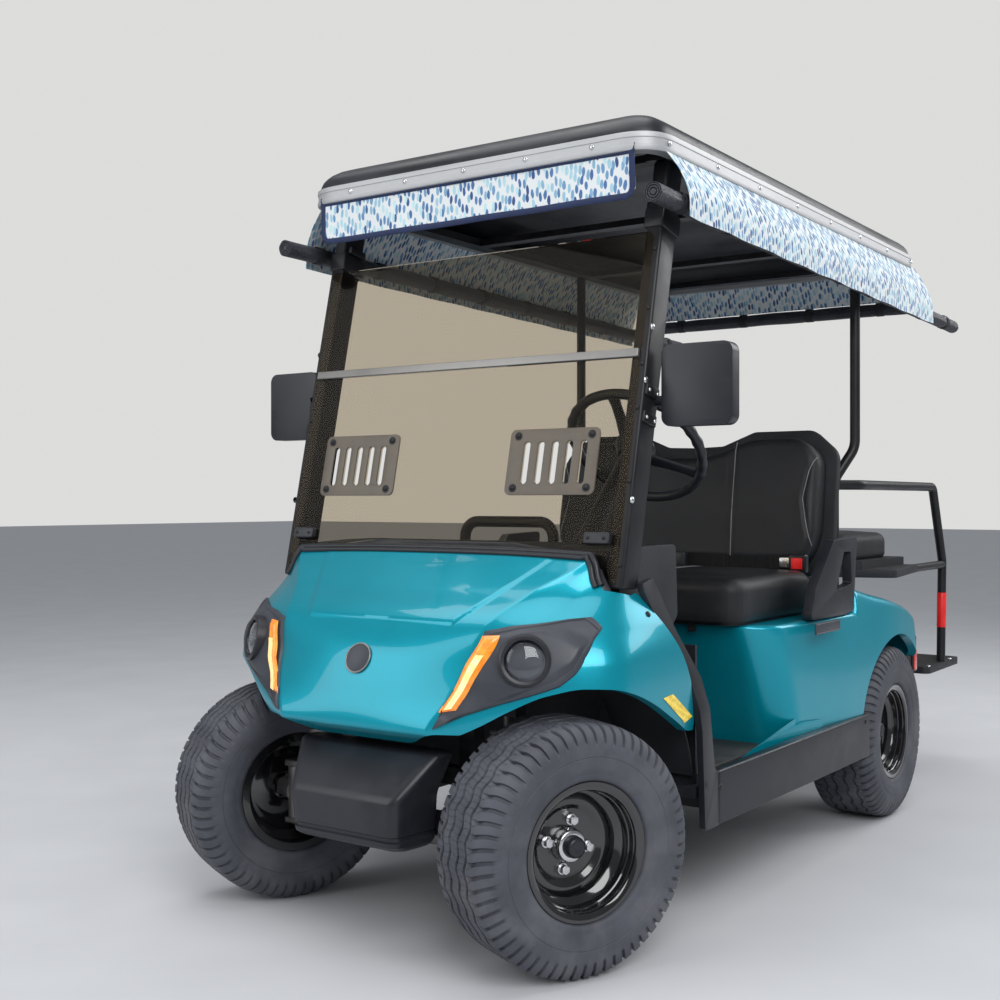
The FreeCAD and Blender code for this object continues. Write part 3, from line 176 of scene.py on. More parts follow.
def hoop(radius, thickness, place, direction, steps=96):
    turns = [math.tau * k / 16 for k in range(16)]
    section = [(thickness * math.sin(turn), radius + thickness * math.cos(turn)) for turn in turns]
    return turned(section, place, direction, steps, closed=True)


def joined(*parts):
    whole = bmesh.new()
    for part in parts:
        holder = bpy.data.meshes.new("holder")
        part.to_mesh(holder)
        part.free()
        whole.from_mesh(holder)
        bpy.data.meshes.remove(holder)
    return whole


def bothSides(part, merge=-1):
    bmesh.ops.mirror(part, geom=part.verts[:] + part.edges[:] + part.faces[:], axis="Y", merge_dist=merge)
    return faceOut(part)


def outward(part, centre):
    if sum(f.normal.dot(f.calc_center_median() - centre) for f in part.faces) < 0:
        bmesh.ops.reverse_faces(part, faces=part.faces)
    return part


def walled(part, thickness):
    bmesh.ops.solidify(part, geom=part.faces, thickness=thickness / 1000)
    return part


def beveled(part, edges, width, segments=3, **more):
    bmesh.ops.bevel(
        part, geom=edges, offset=width / 1000, segments=segments, profile=0.5, affect="EDGES", material=-1, **more)
    return part


def block(low, high, edge=2.0, segments=2, place=at):
    box = bmesh.new()
    bmesh.ops.create_cube(box, size=1)
    for v in box.verts:
        v.co = place(*(mix(low[i], high[i], v.co[i] + 0.5) for i in range(3)))
    return beveled(box, box.edges[:], edge, segments)


def drum(start, end, radius, edge, endRadius=None, segments=32):
    can, line = bmesh.new(), end - start
    bmesh.ops.create_cone(
        can, cap_ends=True, segments=segments, radius1=radius / 1000, radius2=(endRadius or radius) / 1000,
        depth=line.length)
    beveled(can, [e for e in can.edges if {len(f.verts) for f in e.link_faces} == {4, segments}], edge)
    return moved(can, Matrix.Translation((start + end) / 2) @ line.to_track_quat("Z", "Y").to_matrix().to_4x4())


# A low domed head, such as a rivet's, that stands on a point.
def roundHead(start, direction, radius, height):
    head = bmesh.new()
    bmesh.ops.create_uvsphere(head, u_segments=20, v_segments=8, radius=1)
    bmesh.ops.delete(head, geom=[v for v in head.verts if v.co.z < -0.35], context="VERTS")
    turn = direction.to_track_quat("Z", "Y").to_matrix().to_4x4()
    return moved(head, Matrix.Translation(start) @ turn @ Matrix.Diagonal((*local(radius, radius, height), 1)))


def roundedLoop(corners, radius, steps=5):
    points = []
    for i, corner in enumerate(corners):
        here = Vector(corner)
        before, after = Vector(corners[i - 1]) - here, Vector(corners[(i + 1) % len(corners)]) - here
        reach = min(radius, before.length * 0.49, after.length * 0.49)
        first, last = here + before.normalized() * reach, here + after.normalized() * reach
        for share in (k / steps for k in range(steps + 1)):
            points.append(first * (1 - share) ** 2 + here * 2 * share * (1 - share) + last * share ** 2)
    return points


# A round cord laid through points.
def seamCord(points, radius):
    curve = bpy.data.curves.new("seam", "CURVE")
    curve.dimensions = "3D"
    curve.bevel_depth = radius / 1000
    curve.bevel_resolution = 2
    curve.resolution_u = 4
    line = curve.splines.new("NURBS")
    line.resolution_u = 4
    line.points.add(len(points) - 1)
    for spot, point in zip(line.points, points):
        spot.co = (*point, 1)
    line.order_u = 3
    line.use_endpoint_u = True
    holder = bpy.data.objects.new("seam", curve)
    mesh = bpy.data.meshes.new_from_object(holder)
    cord = bmesh.new()
    cord.from_mesh(mesh)
    bpy.data.objects.remove(holder)
    bpy.data.curves.remove(curve)
    bpy.data.meshes.remove(mesh)
    return cord


def link(name, data):
    made = bpy.data.objects.new(name, data)
    bpy.context.scene.collection.objects.link(made)
    return made


def piece(name, part, finish, body="cart", stands=None, sharp=40, slot=None):
    data = bpy.data.meshes.new(name)
    part.to_mesh(data)
    part.free()
    data.materials.append(materials[finish])
    data.shade_smooth()
    data.set_sharp_from_angle(angle=math.radians(sharp))
    made = link(name, data)
    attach(made, body)
    if stands:
        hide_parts(stands)
    return made


# A piece made of parts on the left and their mirror images on the right.
def pair(name, parts, finish, **more):
    return piece(name, bothSides(joined(*parts)), finish, **more)


# A copy of a CAD piece with its sharp edges rounded, for a moulding or a tube end.
def roundedNode(node, width, finish):
    part = bmesh.new()
    part.from_mesh(frame["nodes"][node].data)
    merged(part, 2e-5)
    bmesh.ops.dissolve_limit(part, angle_limit=math.radians(3), verts=part.verts, edges=part.edges)
    corners = [e for e in part.edges if len(e.link_faces) == 2 and e.calc_face_angle(0) > math.radians(35)]
    piece(node + "_rounded", beveled(part, corners, width, clamp_overlap=True), finish, stands=node, sharp=50)


# Shader helpers. A feed is another node's output or a plain value.
def feed(tree, socket, value):
    if isinstance(value, bpy.types.NodeSocket):
        tree.links.new(value, socket)
    else:
        socket.default_value = value


def addNode(tree, kind, feeds=None, **settings):
    made = tree.nodes.new("ShaderNode" + kind)
    for key, value in settings.items():
        setattr(made, key, value)
    for key, value in (feeds or {}).items():
        feed(tree, made.inputs[key], value)
    return made


def arithmetic(tree, operation, first, second=0.0):
    return addNode(tree, "Math", {0: first, 1: second}, operation=operation).outputs[0]


def ranged(tree, value, low, high, outLow=0.0, outHigh=1.0):
    limits = {"Value": value, "From Min": low, "From Max": high, "To Min": outLow, "To Max": outHigh}
    return addNode(tree, "MapRange", limits, interpolation_type="SMOOTHSTEP").outputs["Result"]


def blended(tree, share, first, second):
    return addNode(tree, "MixRGB", {"Fac": share, "Color1": first, "Color2": second}).outputs["Color"]


# Shared effects, each a shader node group that gives a mask, a height or a colour.
def effect(name, gives, scaled=True):
    tree = groups[name] = bpy.data.node_groups.new(name, "ShaderNodeTree")
    tree.interface.new_socket(name="Vector", in_out="INPUT", socket_type="NodeSocketVector")
    if scaled:
        tree.interface.new_socket(name="Scale", in_out="INPUT", socket_type="NodeSocketFloat").default_value = 10
    kind = "NodeSocketColor" if gives == "Color" else "NodeSocketFloat"
    tree.interface.new_socket(name=gives, in_out="OUTPUT", socket_type=kind)
    source, result = tree.nodes.new("NodeGroupInput").outputs, tree.nodes.new("NodeGroupOutput")
    return tree, source["Vector"], source["Scale"] if scaled else None, result.inputs[gives]


def buildEffects():
    tree, vector, scale, result = effect("Mottle", "Mask")
    cloud = addNode(tree, "TexNoise", {"Vector": vector, "Scale": scale, "Detail": 5, "Roughness": 0.6})
    feed(tree, result, ranged(tree, cloud.outputs["Fac"], 0.33, 0.68))

    tree, vector, scale, result = effect("MouldedGrain", "Height")
    cells = addNode(tree, "TexVoronoi", {"Vector": vector, "Scale": scale}, feature="SMOOTH_F1")
    fine = addNode(tree, "TexNoise", {"Vector": vector, "Scale": scale, "Detail": 3})
    feed(tree, result, arithmetic(tree, "ADD", cells.outputs["Distance"], fine.outputs["Fac"]))

    tree, vector, scale, result = effect("HideGrain", "Height")
    cells = addNode(tree, "TexVoronoi", {"Vector": vector, "Scale": scale}, feature="DISTANCE_TO_EDGE")
    broad = addNode(tree, "TexNoise", {"Vector": vector, "Scale": arithmetic(tree, "MULTIPLY", scale, 0.35)})
    crease = ranged(tree, cells.outputs["Distance"], 0.0, 0.12)
    feed(tree, result, arithmetic(tree, "ADD", crease, broad.outputs["Fac"]))

    tree, vector, scale, result = effect("Weave", "Height")
    strands = [addNode(tree, "TexWave", {"Vector": vector, "Scale": scale, "Distortion": 0.4}, wave_type="BANDS",
                       bands_direction=direction, wave_profile="SIN").outputs["Fac"] for direction in ("X", "Y")]
    feed(tree, result, arithmetic(tree, "MULTIPLY", *strands))

    tree, vector, scale, result = effect("Brushed", "Height")
    stretch = addNode(tree, "Mapping", {"Vector": vector, "Scale": (0.02, 1, 1)}).outputs["Vector"]
    feed(tree, result, addNode(tree, "TexNoise", {"Vector": stretch, "Scale": scale, "Detail": 4}).outputs["Fac"])

    tree, vector, scale, result = effect("RoadDust", "Mask", scaled=False)
    parts = addNode(tree, "SeparateXYZ", {"Vector": vector})
    cloud = addNode(tree, "TexNoise", {"Vector": vector, "Scale": 9, "Detail": 6})
    low = ranged(tree, parts.outputs["Z"], 0.05, 0.75, 1.0, 0.0)
    feed(tree, result, arithmetic(tree, "MULTIPLY", low, ranged(tree, cloud.outputs["Fac"], 0.42, 0.72)))

    # Loose blue brush dabs on white canvas, in cloth coordinates measured in metres.
    tree, vector, scale, result = effect("BlueDabs", "Color", scaled=False)
    wobble = addNode(tree, "TexNoise", {"Vector": vector, "Scale": 30}).outputs["Color"]
    shift = addNode(tree, "VectorMath", {0: wobble, 1: (0.009, 0.009, 0), 2: vector}, operation="MULTIPLY_ADD")
    shape = addNode(
        tree, "Mapping", {"Vector": shift.outputs["Vector"], "Rotation": (0, 0, 0.28), "Scale": (84, 34, 1)})
    cells = addNode(
        tree, "TexVoronoi", {"Vector": shape.outputs["Vector"], "Scale": 1, "Randomness": 0.62},
        voronoi_dimensions="2D")
    tone = addNode(tree, "SeparateXYZ", {"Vector": cells.outputs["Color"]}).outputs["X"]
    ramp = addNode(tree, "ValToRGB", {"Fac": tone})
    ramp.color_ramp.elements[0].color = (0.03, 0.075, 0.22, 1)
    ramp.color_ramp.elements[1].color = (0.50, 0.72, 0.76, 1)
    for position, *colour in ((0.2, 0.07, 0.17, 0.38), (0.45, 0.15, 0.31, 0.50), (0.72, 0.30, 0.51, 0.63)):
        ramp.color_ramp.elements.new(position).color = (*colour, 1)
    dab = ranged(tree, cells.outputs["Distance"], 0.33, 0.42, 1.0, 0.0)
    feed(tree, result, blended(tree, dab, (0.71, 0.745, 0.755, 1), ramp.outputs["Color"]))

    # Thin cuts across the tread blocks, in tyre coordinates: turns around, millimetres across.
    tree, vector, scale, result = effect("TreadSipes", "Height", scaled=False)
    parts = addNode(tree, "SeparateXYZ", {"Vector": vector}).outputs
    sway = arithmetic(tree, "SINE", arithmetic(tree, "MULTIPLY", parts["Y"], 0.14))
    around = arithmetic(tree, "MULTIPLY", parts["X"], 120.0)
    turn = arithmetic(tree, "ADD", around, arithmetic(tree, "MULTIPLY", sway, 0.22))
    cut = ranged(tree, arithmetic(tree, "PINGPONG", turn, 0.5), 0.06, 0.12)
    middle = ranged(tree, arithmetic(tree, "ABSOLUTE", parts["Y"]), 62, 66)
    feed(tree, result, arithmetic(tree, "MAXIMUM", cut, middle))


# Each finish: its two colours, how fine their patches are, its least and most roughness, its grain with
# scale and depth in metres, and what else it has.
finishes = {
    "tealPaint": ((0, 0.27, 0.36), (0, 0.30, 0.40), 2.2, (0.30, 0.36), ("MouldedGrain", 900, 2e-5),
                  {"metal": 0.45, "coat": 0.55, "specular": 0.2}),
    "blackMoulding": ((0.012, 0.013, 0.016), (0.020, 0.022, 0.027), 7, (0.46, 0.60), ("MouldedGrain", 520, 4e-4),
                      {"specular": 0.35, "dust": (0.07, 0.068, 0.066)}),
    "smoothMoulding": ((0.013, 0.014, 0.018), (0.020, 0.022, 0.028), 6, (0.30, 0.42), ("MouldedGrain", 800, 1e-4),
                       {"specular": 0.4}),
    "powderCoat": ((0.008, 0.008, 0.010), (0.014, 0.014, 0.017), 8, (0.38, 0.48), ("MouldedGrain", 700, 6e-5),
                   {"coat": 0.08, "specular": 0.3}),
    "wheelBlack": ((0.006, 0.006, 0.007), (0.011, 0.011, 0.013), 9, (0.10, 0.17), ("MouldedGrain", 500, 4e-5),
                   {"coat": 1.0}),
    "bezelCharcoal": ((0.036, 0.040, 0.050), (0.048, 0.053, 0.066), 9, (0.36, 0.46),
                      ("MouldedGrain", 900, 1.2e-4), {"specular": 0.4}),
    "tyreRubber": ((0.044, 0.047, 0.060), (0.068, 0.072, 0.090), 11, (0.58, 0.72), ("TreadSipes", 1, 3e-3),
                   {"dust": (0.16, 0.16, 0.175), "uv": True}),
    "matRubber": ((0.018, 0.018, 0.019), (0.030, 0.030, 0.031), 8, (0.55, 0.7), ("MouldedGrain", 300, 6e-4),
                  {"dust": (0.11, 0.10, 0.09)}),
    "railSilver": ((0.20, 0.195, 0.185), (0.28, 0.275, 0.265), 3, (0.30, 0.42), ("Brushed", 260, 1e-4),
                   {"metal": 0.6}),
    "gutterSilver": ((0.36, 0.365, 0.375), (0.43, 0.435, 0.445), 3, (0.36, 0.48), ("Brushed", 260, 1e-4),
                     {"metal": 0.2}),
    "brightSteel": ((0.58, 0.58, 0.60), (0.70, 0.70, 0.72), 40, (0.16, 0.30), ("MouldedGrain", 700, 4e-5),
                    {"metal": 1.0}),
    "dullSteel": ((0.14, 0.14, 0.15), (0.24, 0.23, 0.22), 14, (0.42, 0.6), ("MouldedGrain", 400, 3e-4),
                  {"metal": 0.7, "dust": (0.12, 0.10, 0.08)}),
    "seatVinyl": ((0.0065, 0.0072, 0.0095), (0.011, 0.012, 0.015), 5, (0.34, 0.46), ("HideGrain", 420, 2.5e-4),
                  {"specular": 0.4}),
    # Light grey for the cords along the seams: the seams are real, and their light colour is painted highlight.
    "seamHighlightGrey": ((0.16, 0.16, 0.17), (0.24, 0.24, 0.25), 60, (0.6, 0.75), ("Weave", 900, 2e-4), {}),
    "canvasPrint": (None, None, 5, (0.75, 0.85), ("Weave", 900, 2e-4), {"uv": True}),
    "navyBinding": ((0.008, 0.018, 0.065), (0.014, 0.028, 0.09), 30, (0.7, 0.8), ("Weave", 500, 3e-4), {}),
    "curtainCloth": ((0.016, 0.018, 0.026), (0.035, 0.038, 0.050), 12, (0.42, 0.58), ("HideGrain", 90, 1.2e-3),
                     {}),
    "strapWebbing": ((0.010, 0.010, 0.012), (0.020, 0.020, 0.022), 30, (0.6, 0.75), ("Weave", 420, 6e-4), {}),
    "bronzeSheet": ((0.56, 0.49, 0.385), (0.56, 0.49, 0.385), 1, (0, 0), None, {"index": 1.12}),
    "bronzePlate": ((0.085, 0.070, 0.053), (0.11, 0.092, 0.070), 12, (0.30, 0.40), ("MouldedGrain", 900, 1e-4),
                    {"specular": 0.4}),
    "clearLens": ((0.90, 0.92, 0.95), (0.90, 0.92, 0.95), 1, (0, 0), None, {"index": 1.4}),
    # Painted glow: the amber marker lens is given a faint light of its own.
    "amberLens": ((0.82, 0.20, 0.008), (0.95, 0.34, 0.02), 60, (0.14, 0.22), ("Weave", 160, 6e-4),
                  {"coat": 1.0, "glow": (1.0, 0.28, 0.02), "glowStrength": 0.25}),
    # Painted highlight: a pale amber that glows, standing in for the bright shine on the marker lens.
    "amberPaintedHighlight": ((1.0, 0.62, 0.20), (1.0, 0.80, 0.45), 50, (0.15, 0.25), ("Weave", 220, 5e-4),
                  {"coat": 1.0, "glow": (1.0, 0.62, 0.22), "glowStrength": 0.5}),
    "redLens": ((0.60, 0.012, 0.008), (0.78, 0.03, 0.02), 60, (0.12, 0.2), ("Weave", 240, 4e-4), {"coat": 1.0}),
    "yellowReflector": ((0.95, 0.62, 0.02), (1.0, 0.80, 0.10), 90, (0.22, 0.32), ("Weave", 300, 4e-4),
                        {"coat": 0.8}),
    "mirrorFace": ((0.80, 0.82, 0.84), (0.80, 0.82, 0.84), 1, (0.02, 0.02), ("MouldedGrain", 4, 1e-5),
                   {"metal": 1.0}),
    "lampBowl": ((0.16, 0.17, 0.20), (0.30, 0.31, 0.34), 30, (0.06, 0.12), ("MouldedGrain", 60, 2e-4),
                 {"metal": 1.0}),
    "lampGlass": ((0.02, 0.02, 0.026), (0.05, 0.05, 0.06), 20, (0.02, 0.06), ("MouldedGrain", 30, 1e-4),
                  {"coat": 1.0}),
    "redPlastic": ((0.72, 0.010, 0.010), (0.82, 0.02, 0.02), 30, (0.3, 0.4), ("MouldedGrain", 600, 1e-4), {}),
    "engineGrey": ((0.10, 0.10, 0.11), (0.17, 0.165, 0.16), 12, (0.5, 0.65), ("MouldedGrain", 300, 6e-4),
                   {"metal": 0.5}),
}


def buildFinish(name, base, second, patch, rough, grain, more):
    material = materials[name] = bpy.data.materials.new(name)
    material.use_nodes = True
    tree = material.node_tree
    solid = addNode(tree, "TexCoord").outputs["Object"]
    place = addNode(tree, "TexCoord").outputs["UV" if "uv" in more else "Object"]

    def useEffect(effectName, scale, vector):
        made = addNode(tree, "Group", {"Vector": vector}, node_tree=groups[effectName])
        if "Scale" in made.inputs:
            made.inputs["Scale"].default_value = scale
        return made.outputs[0]

    patches = useEffect("Mottle", patch, solid)
    colour = blended(tree, patches, (*base, 1), (*second, 1)) if base else useEffect("BlueDabs", 1, place)
    if "dust" in more:
        film = arithmetic(tree, "MULTIPLY", useEffect("RoadDust", 1, solid), 0.45)
        colour = blended(tree, film, colour, (*more["dust"], 1))
    low, high = rough
    sockets = {
        "Base Color": colour,
        "Roughness": ranged(tree, patches, 0.0, 1.0, low, high) if high > low else low,
        "Metallic": more.get("metal", 0.0),
        "Coat Weight": more.get("coat", 0.0),
        "Coat Roughness": 0.04,
        "Specular IOR Level": more.get("specular", 0.5),
        "Transmission Weight": 1.0 if "index" in more else 0.0,
        "IOR": more.get("index", 1.5),
        "Emission Color": (*more.get("glow", (1, 1, 1)), 1),
        "Emission Strength": more.get("glowStrength", 0.0),
    }
    if "index" in more:
        # Part of the light reaches what stands behind the glass.
        rays = addNode(tree, "LightPath").outputs
        passing = arithmetic(tree, "MAXIMUM", rays["Is Shadow Ray"], rays["Is Diffuse Ray"])
        sockets["Alpha"] = arithmetic(tree, "SUBTRACT", 1.0, arithmetic(tree, "MULTIPLY", passing, 0.6))
    if grain:
        effectName, scale, depth = grain
        height = useEffect(effectName, scale, place)
        bump = addNode(tree, "Bump", {"Strength": 0.9, "Distance": depth, "Height": height})
        sockets["Normal"] = bump.outputs["Normal"]
    for socket, value in sockets.items():
        feed(tree, tree.nodes["Principled BSDF"].inputs[socket], value)


buildEffects()
for finishName, look in finishes.items():
    buildFinish(finishName, *look)
print("finishes ready:", len(materials))

nodeFinishes = {
    "powderCoat": "frame_rails roof_struts_front roof_struts_rear rear_frame seat_back_frame dash_hoop roof_frame",
    "dullSteel": "front_axle knuckle_left knuckle_right front_shocks rear_axle",
    "engineGrey": "engine_block",
    "tealPaint": "front_cowl rear_body",
    "blackMoulding": "floor_pan front_bumper fender_straps rockers fender_liners dashboard pedals cowl_trim "
                     "roof_top hip_restraints windshield_clips seat_back_shell seat_pan rear_seat_board "
                     "rear_deck footplate",
    "smoothMoulding": "steering_column steering_wheel mirrors",
    "matRubber": "floor_mat",
    "bezelCharcoal": "lamp_bezels",
    "amberLens": "marker_lamps",
    "clearLens": "headlamps",
    "bronzeSheet": "windshield_panes",
    "railSilver": "windshield_rail",
    "gutterSilver": "roof_gutter",
    "bronzePlate": "windshield_vents",
    "canvasPrint": "valance_sides valance_ends",
    "curtainCloth": "curtain_rolls",
    "seatVinyl": "seat_cushion seat_back rear_backrest rear_seat_cushion",
    "strapWebbing": "seat_belts",
    "mirrorFace": "mirror_glass",
    "redLens": "tail_lamps",
    "tyreRubber": "tyre_front_left tyre_front_right tyre_rear_left tyre_rear_right",
    "wheelBlack": "wheel_front_left wheel_front_right wheel_rear_left wheel_rear_right",
}
for finish, nodeNames in nodeFinishes.items():
    for nodeName in nodeNames.split():
        slots = frame["nodes"][nodeName].data.materials
        slots.clear()
        slots.append(materials[finish])
print("frame painted")


# The nose is drawn as plan outlines at rising heights: centre, crease, lamp, side and rear.
cowlShape = {
    "height": [455, 490, 560, 628, 700, 771, 820, 853, 868],
    "front": [168, 216, 204, 184, 134, 34, -36, -84, -102],
    "creaseX": [162, 211, 180, 147, 115, 22, -51, -92, -108],
    "creaseY": [210, 205, 238, 259, 281, 338, 400, 425, 430],
    "lampX": [110, 150, 128, 105, 62, -36, -82, -112, -125],
    "lampY": [300, 320, 370, 385, 400, 424, 440, 450, 455],
    "sideX": [-60, -40, -30, -35, -70, -110, -135, -150, -160],
    "sideY": [528, 540, 548, 545, 522, 490, 468, 462, 462],
    "rearX": -420.0,
    "rearY": [556, 561, 562, 560, 548, 512, 480, 470, 468],
    "creaseShare": 0.46,  # the part of the columns that stands ahead of the crease
    "across": 136,
    "up": 108,
    "wall": 3.6,
    "lip": (455, 32),  # height at the nose, and rise towards the lamps
    "panel": {"low": 709, "half": 206, "spread": 0.92, "rise": 4.2},  # the raised hood panel
    "glass": (18.3, -78, 497),  # room for the foot of the glass: ahead, above and across
    "strapX": [-322, -296, -150, -60],
    "strapZ": [450, 562, 775, 900],
    "archX": [-340, -300, -212, -133, -52, 14, 52, 95, 134, 163, 205, 232],
    "archY": 224,
    "archZ": [432, 452, 497, 536, 567, 583, 585, 571, 539, 505, 455, 425],
}
screenShape = {"lean": math.radians(12.7), "footX": -108, "footZ": 850}


# Screen parts are drawn flat, as ahead, across and above, and leaned back with the glass.
def onScreen(ahead, across, above):
    cos, sin = math.cos(screenShape["lean"]), math.sin(screenShape["lean"])
    x, z = ahead * cos - above * sin, ahead * sin + above * cos
    return at(screenShape["footX"] + x, across, screenShape["footZ"] + z)


def screenSide(x, z):
    cos, sin = math.cos(screenShape["lean"]), math.sin(screenShape["lean"])
    dx, dz = x - screenShape["footX"], z - screenShape["footZ"]
    return dx * cos + dz * sin, dz * cos - dx * sin


def cowlPoint(height, share):
    def value(column):
        return through(cowlShape["height"], cowlShape[column], height)

    if share <= 1:
        return mix(value("front"), value("creaseX"), share * share), value("creaseY") * share, height
    xs = [value("creaseX"), value("lampX"), value("sideX"), cowlShape["rearX"]]
    ys = [value("creaseY"), value("lampY"), value("sideY"), value("rearY")]
    return through([1, 2, 3, 4], xs, share), through([1, 2, 3, 4], ys, share), height


def archHeight(x):
    return through(cowlShape["archX"], cowlShape["archZ"], x)


# The nose ends at the glass, the strap, the lip and the wheel arch.
def onCowl(x, y, z):
    glass, foot, corner = cowlShape["glass"]
    ahead, above = screenSide(x, z)
    if ahead < glass and above > foot and y < corner:
        return False
    if x < through(cowlShape["strapZ"], cowlShape["strapX"], z):
        return False
    low, rise = cowlShape["lip"]
    lip = low + rise * smoothStep(120, 226, y) * smoothStep(60, 140, x)
    return z > lip and (y < cowlShape["archY"] or z > archHeight(x))


# The last value on the way from inside to outside that still passes a test.
def lastWhere(test, inside, outside, rounds):
    for _ in range(rounds):
        middle = (inside + outside) / 2
        inside, outside = (middle, outside) if test(middle) else (inside, middle)
    return inside


def cowlSpan(share):
    def kept(z):
        return onCowl(*cowlPoint(z, share))

    step = 2
    heights = [z for z in range(456, 870, step) if kept(z)]
    if heights:
        return tuple(lastWhere(kept, z, z + out, 14) for z, out in ((heights[0], -step), (heights[-1], step)))


# How far a point lies inside the raised panel on the nose, between its lower edge and two slanting sides.
def panelLine(y, z):
    panel = cowlShape["panel"]
    lower = panel["low"] - abs(y) * 0.012
    side = panel["half"] + (z - panel["low"] + 2) * panel["spread"]
    return min(z - lower, (side - abs(y)) * 0.75)


def buildCowl():
    look = cowlShape
    last, crease, spans = 4.0, look["creaseShare"], {}
    while cowlSpan(last) is None:
        last -= 0.01

    def place(u, v):
        share = u / crease if u <= crease else 1 + (last - 1) * (u - crease) / (1 - crease)
        if share not in spans:
            spans[share] = cowlSpan(share)
        x, y, z = cowlPoint(mix(*spans[share], v), share)
        raised = look["panel"]["rise"] * smoothStep(-3.2, 4.2, panelLine(y, z))
        raised *= 1 - 0.75 * smoothStep(715, 850, z)
        return at(x + raised * 0.75, y, z + raised * 0.6)

    def onArch(v):
        return v.co.y > look["archY"] / 1000 and v.co.z * 1000 < archHeight(v.co.x * 1000 - axleX) + 3

    # The fender edge turns in over the wheel.
    skin = gridPatch(look["across"], look["up"], place)
    rim = [e for e in skin.edges if e.is_boundary and all(onArch(v) for v in e.verts)]
    for inward, inset in ((4, 1), (18, 0)):
        fresh, rim = extruded(skin, rim)
        for v in fresh:
            v.co.y -= inward / 1000
            v.co -= (v.co - at(-20, v.co.y * 1000, 300)).normalized() * inset / 1000
    skin = walled(outward(bothSides(skin, merge=1e-5), at(-300, 0, 500)), look["wall"])
    made = piece("front_cowl_skin", skin, "tealPaint", stands="front_cowl", sharp=24, slot="teal_panels")
    print("cowl", len(made.data.polygons), "faces")


def cowlSideY(x, z):
    return cowlPoint(z, lastWhere(lambda share: cowlPoint(z, share)[0] > x, 1.0, 4.0, 25))[1]


def cowlNormal(x, z):
    dx = (cowlSideY(x + 2, z) - cowlSideY(x - 2, z)) / 4
    dz = (cowlSideY(x, z + 2) - cowlSideY(x, z - 2)) / 4
    return Vector((-dx, 1, -dz)).normalized()


def cowlSpot(x, z, raised):
    return at(*(Vector((x, cowlSideY(x, z), z)) + cowlNormal(x, z) * raised))


# A patch that lies on the side of the nose, between two edges given as (x, z) lines.
def cowlPatch(lower, upper, across, up, lift, wall):
    def place(u, v):
        x, z = alongLine(lower, u).lerp(alongLine(upper, u), v)
        return cowlSpot(x, z, lift(u, v, x, z))

    return walled(outward(gridPatch(across, up, place), at(-100, 200, 600)), wall)


lampShape = {
    "x": 110, "y": 384, "z": 641, "radius": 46, "toe": 32, "rise": 10,
    "bezelLow": [(204, 500), (174, 530), (142, 554), (110, 573), (80, 592), (58, 618), (39, 649), (8, 684),
                 (-18, 706)],
    "bezelHigh": [(204, 501), (186, 548), (159, 600), (136, 650), (114, 697), (88, 708), (59, 713), (22, 720),
                  (-16, 724)],
    "markerLow": [(178, 540), (163, 570), (145, 606), (126, 644), (106, 685)],
    "markerHigh": [(193, 534), (176, 566), (156, 604), (137, 645), (119, 684)],
    "core": (0.22, 0.66),  # where the painted highlight, a pale glowing strip, lies across the marker
}


def buildLamps():
    look = lampShape

    # One rise serves the bezel and the marker lens that stands on it.
    def swell(x, z):
        return 9 * smoothStep(98, 56, math.hypot(x - look["x"] + 10, z - look["z"] + 3))

    def bezelLift(u, v, x, z):
        edge = min(u * 1.3, (1 - u) * 1.6, v, 1 - v)
        frameLip = 6.0 * smoothStep(0.0, 0.03, edge) - 3.4 * smoothStep(0.07, 0.10, edge)
        return 0.6 + frameLip + swell(x, z) * smoothStep(0.03, 0.2, edge)

    def markerLift(u, v, x, z):
        return 5.0 + swell(x, z) + 6.0 * smoothStep(0.0, 0.25, min(u * 4, (1 - u) * 4, v, 1 - v))

    def highlightLift(u, v, x, z):
        return 11.4 + swell(x, z)

    bezel = cowlPatch(look["bezelLow"], look["bezelHigh"], 84, 44, bezelLift, 2.5)
    pair("lamp_bezel_skins", [bezel], "bezelCharcoal", stands="lamp_bezels", sharp=30)
    marker = cowlPatch(look["markerLow"], look["markerHigh"], 32, 10, markerLift, 3)
    pair("marker_lenses", [marker], "amberLens", stands="marker_lamps")
    # A pale glowing strip on each marker lens is a painted highlight.
    ends = list(zip(look["markerLow"], look["markerHigh"]))[:4]
    highlightStrip = [[Vector(a).lerp(Vector(b), share) for a, b in ends] for share in look["core"]]
    pair("marker_painted_highlights", [cowlPatch(*highlightStrip, 24, 4, highlightLift, 1)], "amberPaintedHighlight")

    # Lamp pods face forward, with a dark ring, a bright bowl, a projector and a clear dome.
    toe = Matrix.Rotation(math.radians(look["toe"] - 90), 4, "Z")
    rise = Matrix.Rotation(math.radians(look["rise"]), 4, "X")
    spot = Matrix.Translation(at(look["x"], look["y"], look["z"])) @ toe @ rise

    def pod(name, profile, wall, finish, **more):
        pair(name, [walled(moved(spun(profile, 64, closed=False), spot), wall)], finish, **more)

    wide = look["radius"]
    ring = [(-70, 7), (4, 9), (12, 8), (15, 3), (13, -3), (4, -5), (-40, -9)]
    pod("lamp_rings", [(y, wide + out) for y, out in ring], 1.5, "smoothMoulding")
    bowl = [(-42, onAxis), (-42, 20), (-34, 24), (-20, 26), (-22, 34), (-6, wide - 6), (2, wide - 5.2)]
    pod("lamp_bowls", bowl, 1, "lampBowl")
    pod("lamp_projectors", [(-2, onAxis), (-4, 9), (-9, 18), (-16, 24), (-24, 25.5)], 1, "lampGlass")
    dome = [(17, onAxis), (16.4, 12), (14.6, 24), (11.5, 36), (6.5, wide - 5.5), (2, wide - 4)]
    pod("lamp_domes", dome, 1.5, "clearLens", stands="headlamps")
    print("lamps")


buildCowl()
buildLamps()

